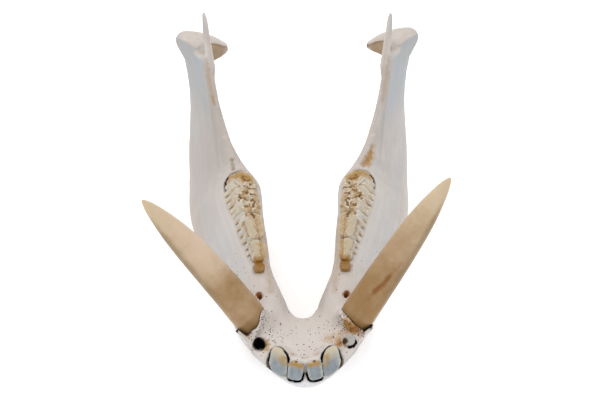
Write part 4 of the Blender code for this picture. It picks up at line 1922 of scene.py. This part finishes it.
    def brown(self) -> Array:
        """Lays dark brown: painted shade in narrow hollows and under the left joint's inner end, partly stain
        and partly painted shade in the nerve holes and along the teeth, and brown in the slit and the other
        marks.

        Returns:
            How strongly, for each point.
        """
        places, gap = self.fine.places, self.gap
        x, y, z = places.T
        mouth = np.hypot(np.abs(x) - self.nerve_mouth[0], y - self.nerve_mouth[1])
        in_nerve = smooth_step(mouth, 3.2, 2.2) * (z > 40.0) * smooth_step(z, 57.5, 56.0)
        narrow = 0.5 * smooth_step(self.hollow, 0.35, 1.0) * (gap < 4.0)
        by_molars = smooth_step(gap, 0.9, 0.2) * smooth_step(z, 52.0, 58.0)
        by_molars *= (y > 90.0) * smooth_step(y, 198.0, 188.0)
        by_left_tusk = smooth_step(gap, 1.3, 0.3) * (x > 30.0) * smooth_step(y, 76.0, 68.0)
        by_left_tusk *= smooth_step(z, 50.0, 54.0)
        marks = REAR_SLIT.weight(places, 24) / 2.0 + total(BROWN_MARKS, places, 31)
        return np.maximum(in_nerve, narrow) + 0.3 * by_molars + 0.6 * by_left_tusk + marks

    def socket_black(self) -> Array:
        """Paints the inside of the empty socket black: painted shade.

        Returns:
            How strongly, for each point.
        """
        radius, depth = self.socket()
        inside = smooth_step(radius, self.socket_radius + 0.7, self.socket_radius - 0.3)
        return inside * smooth_step(depth, -5.0, -3.0) * smooth_step(depth, 17.4, 16.8)

    def porous(self) -> Array:
        """Opens the pinholes: more on the chin's top, and most by the tusks.

        Returns:
            The share of them that is open round each point.
        """
        y = self.fine.places[:, 1]
        share = 0.03 + 0.09 * smooth_step(y, 80.0, 50.0) * smooth_step(self.normals[:, 2], 0.2, 0.8)
        for middle in POROUS_SPOTS:
            share += Stroke((middle,), 11.0, 1.0, 0.3).weight(self.fine.places, 25)
        return share * smooth_step(y, 150.0, 110.0)


@dataclass
class Studio:
    """A white paper floor, a soft sky and one large soft lamp, with the camera above the chin."""

    aim: Point = (9.3, 30.9, 60.0)
    azimuth: float = -1.42
    elevation: float = 45.0
    distance: float = 1.2
    lens: float = 85.0
    sky: float = 1.15
    lamp_power: float = 4.0
    floor_half: float = 6.0
    floor_glow: float = 0.22
    fibre: float = 1.5
    lamp_place: Point = (-0.25, 0.35, 1.25)
    lamp_aim: Point = (0.0, 0.0, 0.05)
    lamp_size: float = 1.1
    sensor: float = 36.0

    def build(self) -> None:
        """Makes the floor, the lights and the camera."""
        self.add_floor()
        self.add_lights()
        self.add_camera()
        bpy.context.scene.view_settings.view_transform = "Standard"
        LOG.info("studio: floor, lights and camera")

    def add_floor(self) -> None:
        """Lays the paper, which isn't part of the object."""
        mesh = bmesh.new()
        bmesh.ops.create_grid(mesh, x_segments=1, y_segments=1, size=self.floor_half)
        data = bpy.data.meshes.new("paper_floor")
        mesh.to_mesh(data)
        mesh.free()
        floor = bpy.data.objects.new("paper_floor", data)
        bpy.context.scene.collection.objects.link(floor)
        made = bpy.data.materials.new("white_background_paper")
        made.use_nodes = True
        tree = made.node_tree
        space = add_node(tree, "TexCoord").outputs["Object"]
        fibre = add_node(tree, "TexNoise", {"Vector": space, "Scale": per_metre(self.fibre), "Detail": 3.0})
        relief = {"Height": fibre.outputs["Fac"], "Strength": 0.3, "Distance": 0.02 * MM}
        look = {
            "Normal": add_node(tree, "Bump", relief).outputs["Normal"],
            "Base Color": linear(PAPER_COLOUR),
            "Roughness": 0.8,
            "Specular IOR Level": 0.1,
            "Emission Color": linear("ffffff"),
            "Emission Strength": self.floor_glow,
        }
        fill_inputs(tree, tree.nodes["Principled BSDF"], look)
        data.materials.append(made)

    def add_lights(self) -> None:
        """Sets the sky's glow and one wide lamp over the jaw."""
        world = bpy.data.worlds.new("soft_white_sky")
        world.use_nodes = True
        glow = world.node_tree.nodes["Background"]
        glow.inputs["Color"].default_value = linear("fbfcff")
        glow.inputs["Strength"].default_value = self.sky
        bpy.context.scene.world = world
        lamp = bpy.data.lights.new("wide_soft_lamp", "AREA")
        lamp.shape = "DISK"
        lamp.size = self.lamp_size
        lamp.energy = self.lamp_power
        lamp.color = linear("fff6ee")[:3]
        item = bpy.data.objects.new("wide_soft_lamp", lamp)
        item.location = self.lamp_place
        item.rotation_euler = (Vector(self.lamp_aim) - item.location).to_track_quat("-Z", "Y").to_euler()
        bpy.context.scene.collection.objects.link(item)

    def add_camera(self) -> None:
        """Sets the camera in front of and above the chin."""
        turn, rise = math.radians(self.azimuth), math.radians(self.elevation)
        back = Vector((math.sin(turn) * math.cos(rise), -math.cos(turn) * math.cos(rise), math.sin(rise)))
        lens = bpy.data.cameras.new("camera")
        lens.lens = self.lens
        lens.sensor_width = self.sensor
        item = bpy.data.objects.new("camera", lens)
        item.location = Vector(self.aim) * MM + back * self.distance
        item.rotation_euler = (-back).to_track_quat("-Z", "Y").to_euler()
        bpy.context.scene.collection.objects.link(item)
        bpy.context.scene.camera = item


THIRD_MOLAR = (
    Finger((59.2, 196.2, 62.0), (50.6, 200.4, 64.7), (3.8, 5.2)),
    Finger((60.0, 189.0, 61.6), (49.6, 194.0, 64.9), (3.1, 5.0)),
    Finger((58.8, 182.6, 61.6), (51.4, 186.8, 64.0), (3.1, 4.4)),
    Finger((57.0, 176.2, 61.6), (49.4, 181.6, 64.4), (3.2, 4.6)),
    Finger((55.0, 169.6, 61.6), (48.0, 174.6, 64.2), (3.1, 4.5)),
    Finger((53.4, 164.4, 61.6), (47.4, 168.0, 64.0), (2.8, 4.2)),
    Finger((53.0, 190.6, 66.0), (44.6, 195.4, 67.4), (2.4, 2.3)),
    *chain(
        (2.6, 3.0, 3.4, 3.4, 3.1, 2.6),
        (58.9, 200.9, 63.4),
        (56.0, 204.6, 66.0),
        (51.2, 206.4, 67.2),
        (45.6, 205.6, 67.0),
        (40.8, 202.2, 66.2),
        (38.0, 197.4, 65.0),
    ),
    Finger((46.8, 180.2, 62.0), (45.8, 180.2, 66.3), (4.2, 3.8)),
    Finger((45.5, 188.6, 62.0), (44.2, 188.8, 65.6), (3.8, 3.4)),
    Finger((44.0, 172.6, 62.0), (42.6, 173.0, 65.8), (4.2, 3.7)),
    Finger((44.6, 165.2, 62.0), (43.2, 165.6, 65.4), (4.0, 3.3)),
    Finger((42.2, 196.8, 60.0), (40.6, 197.0, 65.6), (3.6, 3.2)),
    Finger((41.2, 190.4, 60.0), (38.6, 190.8, 65.6), (3.8, 3.4)),
    Finger((40.0, 183.8, 60.0), (37.6, 184.2, 65.8), (3.9, 3.5)),
    Finger((39.0, 177.0, 60.0), (36.6, 177.6, 65.2), (3.8, 3.3)),
    Finger((38.2, 170.4, 60.0), (35.8, 171.0, 65.4), (3.8, 3.4)),
    Finger((37.6, 164.6, 60.0), (35.2, 164.8, 64.8), (3.4, 2.9)),
)
THIRD_MOLAR_PITS = (
    seen_from_above((47.2, 200.6), (42.6, 198.6), width=1.8, amount=1.1, ragged=0.9),
    seen_from_above((41.2, 187.6), (38.0, 187.0), (36.6, 188.6), width=1.4, amount=1.3, ragged=0.8),
    seen_from_above((40.8, 181.0), (37.0, 180.4), width=1.3, amount=1.2, ragged=0.8),
    seen_from_above(
        (38.2, 167.6), (38.8, 170.6), (37.4, 172.6), (39.4, 175.6), width=1.6, amount=1.4, ragged=0.9
    ),
    seen_from_above((50.0, 180.4), (48.6, 177.0), (50.5, 175.0), width=1.3, amount=1.0, ragged=0.8),
    seen_from_above((45.0, 168.4), (43.4, 169.4), width=1.9, amount=1.3, ragged=0.6),
    seen_from_above((41.6, 193.8), (38.8, 194.0), width=1.2, amount=1.0, ragged=0.8),
    seen_from_above((44.0, 184.8), (48.0, 184.0), width=1.1, amount=0.9, ragged=0.8),
    seen_from_above((42.4, 176.0), (47.0, 177.0), width=1.2, amount=0.9, ragged=0.8),
    seen_from_above((42.0, 172.0), (40.4, 164.8), width=1.1, amount=0.8, ragged=0.8),
    seen_from_above((46.6, 192.4), (43.4, 190.6), (42.0, 186.6), width=1.0, amount=0.9, ragged=0.8),
)
THIRD_MOLAR_TANS = (
    seen_from_above((58.0, 202.5), (51.0, 204.5), (43.0, 202.0), width=5.5, amount=0.9, ragged=0.4),
    seen_from_above((47.0, 200.0), (42.0, 198.0), width=4.5, amount=1.0, ragged=0.4),
    seen_from_above((46.0, 180.0), (44.0, 188.0), width=4.5, amount=0.8, ragged=0.4),
    seen_from_above((43.5, 168.6), (42.0, 163.5), width=4.0, amount=0.8, ragged=0.4),
    seen_from_above((37.8, 187.5), (36.2, 176.0), (35.2, 164.0), width=3.5, amount=0.6, ragged=0.5),
)
SECOND_MOLAR = (
    Finger((52.0, 157.6, 61.6), (46.6, 161.0, 64.2), (3.0, 4.2)),
    Finger((50.2, 150.0, 61.6), (46.0, 153.6, 64.0), (2.9, 4.0)),
    Finger((48.0, 142.4, 61.6), (44.8, 146.0, 63.4), (2.8, 3.8)),
    Finger((46.0, 135.4, 61.6), (43.2, 138.6, 62.8), (2.6, 3.6)),
    Finger((43.4, 158.6, 62.0), (42.6, 158.8, 65.4), (3.6, 3.2)),
    Finger((38.0, 157.4, 60.0), (36.8, 157.8, 64.8), (3.2, 2.8)),
)
SECOND_MOLAR_PITS = (
    seen_from_above((44.8, 160.8), (44.6, 155.8), width=1.4, amount=0.9, ragged=0.8),
    seen_from_above((39.6, 159.4), (38.2, 155.0), width=1.7, amount=1.4, ragged=0.7),
    seen_from_above((46.4, 151.0), (44.6, 143.0), (42.6, 135.0), width=1.2, amount=0.5, ragged=0.9),
    seen_from_above((36.4, 152.0), (35.4, 142.0), (33.6, 131.0), width=1.6, amount=0.5, ragged=0.9),
)
SECOND_MOLAR_TANS = (
    seen_from_above((35.0, 153.0), (33.8, 143.0), (32.4, 132.0), width=3.6, amount=0.6, ragged=0.6),
    seen_from_above((42.0, 158.5), (37.0, 158.0), width=4.0, amount=0.7, ragged=0.4),
    seen_from_above((46.8, 150.0), (45.0, 143.0), (43.0, 135.0), width=1.8, amount=0.5, ragged=0.5),
)
LEAF = seen_from_above(
    (41.8, 151.5),
    (40.8, 145.0),
    (39.2, 136.0),
    (37.6, 126.0),
    (35.6, 113.0),
    width=6.0,
    amount=1.9,
    ragged=0.25,
)
FIRST_MOLAR = (
    Finger((43.6, 128.0, 61.6), (41.6, 129.6, 62.8), (2.4, 3.2)),
    Finger((42.2, 121.2, 61.2), (40.2, 122.6, 62.0), (2.2, 2.8)),
)
FIRST_MOLAR_PITS = (
    seen_from_above((33.8, 131.0), (32.8, 122.0), (32.4, 113.0), width=1.5, amount=0.45, ragged=0.9),
    seen_from_above((42.4, 132.0), (41.0, 125.0), (39.4, 118.0), width=1.1, amount=0.5, ragged=0.9),
)
FIRST_MOLAR_TANS = (
    seen_from_above((32.0, 129.0), (31.0, 120.0), (30.6, 111.0), width=3.4, amount=0.7, ragged=0.6),
    seen_from_above((38.5, 110.0), (32.5, 110.0), width=3.6, amount=0.9, ragged=0.4),
)


def tusks() -> list[Tusk]:
    """Describes the two tusks, of which the left one stands up more.

    Returns:
        The left one and the right one.
    """
    left = Tusk(Kind.TUSK, Side.LEFT, bend=(78.5, 87.0, 107.5), tip=(112.0, 109.5, 154.5), cracked=True)
    right = Tusk(
        Kind.TUSK,
        Side.RIGHT,
        bend=(81.5, 87.0, 101.5),
        tip=(121.0, 106.5, 139.5),
        cracked=False,
        collar_drop=8.2,
        rim_drop=3.6,
        base_reach=(0.45, 0.0),
        base_depth=0.75,
        base_band=0.5,
        painted_top_sheen=0.9,
        rim_stain=0.4,
    )
    return [left, right]


def front_teeth() -> list[FrontTooth]:
    """Describes the front teeth. The right side has lost its third one.

    Returns:
        A flat middle one and a wide, tapered one for each side, then the small round one.
    """
    found = []
    for side in Side:
        middle = FrontTooth(
            Kind.FIRST_INCISOR,
            side,
            neck=(6.8, 12.8, 48.5),
            crown_lean=(0.0, -0.6, 0.8),
            crown=9.0,
            half_width=5.9,
            depths=(-6.9, 8.1),
            squareness=0.55,
            open_side=(112.0, 66.0),
            ochre_band=(-5.8, -2.0),
            shift=0.4,
            skew=-0.02,
            core=0.9,
            gap_push=0.35,
            gap_width=1.5,
        )
        wide = FrontTooth(
            Kind.SECOND_INCISOR,
            side,
            neck=(20.4, 21.0, 50.0),
            crown_lean=(0.0, -0.55, 0.84),
            crown=8.5,
            half_width=7.9,
            depths=(-8.9, 10.4),
            squareness=0.72,
            open_side=(-74.0, 94.0),
            ochre_band=(-5.0, 2.0),
            shift=-0.9,
            skew=-0.5,
            core=0.78,
            taper=0.1,
        )
        found += [middle, wide]
    small = FrontTooth(
        Kind.THIRD_INCISOR,
        Side.LEFT,
        neck=(34.0, 38.0, 52.5),
        crown_lean=(0.3, -0.25, 0.92),
        crown=4.5,
        half_width=4.9,
        depths=(-4.7, 4.9),
        squareness=0.95,
        open_side=(70.0, 85.0),
        ochre_band=(-9.0, -7.0),
        shift=-1.9,
        core=0.72,
    )
    return [*found, small]


def cheek_teeth(side: Side) -> list[CheekTooth]:
    """Describes the cheek teeth of one side, from the worn stub in front to the long last molar.

    Args:
        side: The side.

    Returns:
        The four teeth.
    """
    stub = CheekTooth(
        Kind.PREMOLAR,
        side,
        front=101.0,
        rear=109.5,
        heights=(2.6, 3.8),
        fingers=(),
        crinkle=0.12,
        lumps=0.3,
        core=(1.1, 1.15, 1.0),
    )
    first = CheekTooth(
        Kind.FIRST_MOLAR,
        side,
        front=110.1,
        rear=130.4,
        heights=(4.2, 7.2),
        fingers=FIRST_MOLAR,
        crinkle=0.06,
        lumps=0.3,
        pits=FIRST_MOLAR_PITS,
        tans=FIRST_MOLAR_TANS,
        core=(0.97, 1.05, 1.2),
        leaf=LEAF,
    )
    second = CheekTooth(
        Kind.SECOND_MOLAR,
        side,
        front=131.0,
        rear=161.2,
        heights=(7.2, 8.6),
        fingers=SECOND_MOLAR,
        crinkle=0.07,
        lumps=0.35,
        pits=SECOND_MOLAR_PITS,
        tans=SECOND_MOLAR_TANS,
        core=(0.97, 1.03, 1.0),
        leaf=LEAF,
    )
    third = CheekTooth(
        Kind.THIRD_MOLAR,
        side,
        front=161.8,
        rear=209.0,
        heights=(8.4, 9.2),
        fingers=THIRD_MOLAR,
        crinkle=0.2,
        lumps=0.5,
        pits=THIRD_MOLAR_PITS,
        tans=THIRD_MOLAR_TANS,
        core=(0.97, 1.0, 0.86),
    )
    return [stub, first, second, third]


def main() -> None:
    """Builds the studio and every piece of the jaw."""
    logging.basicConfig(level=logging.INFO, format="%(name)s: %(message)s")
    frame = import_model()
    nodes = frame["nodes"]
    Studio().build()
    teeth: list[Tooth] = [*tusks(), *front_teeth()]
    for side in Side:
        teeth += cheek_teeth(side)
    for tooth in teeth:
        tooth.shape(nodes)
    bone = JawBone(teeth).build(nodes)
    for tooth in teeth:
        tooth.finish(bone)


if __name__ == "__main__":
    main()
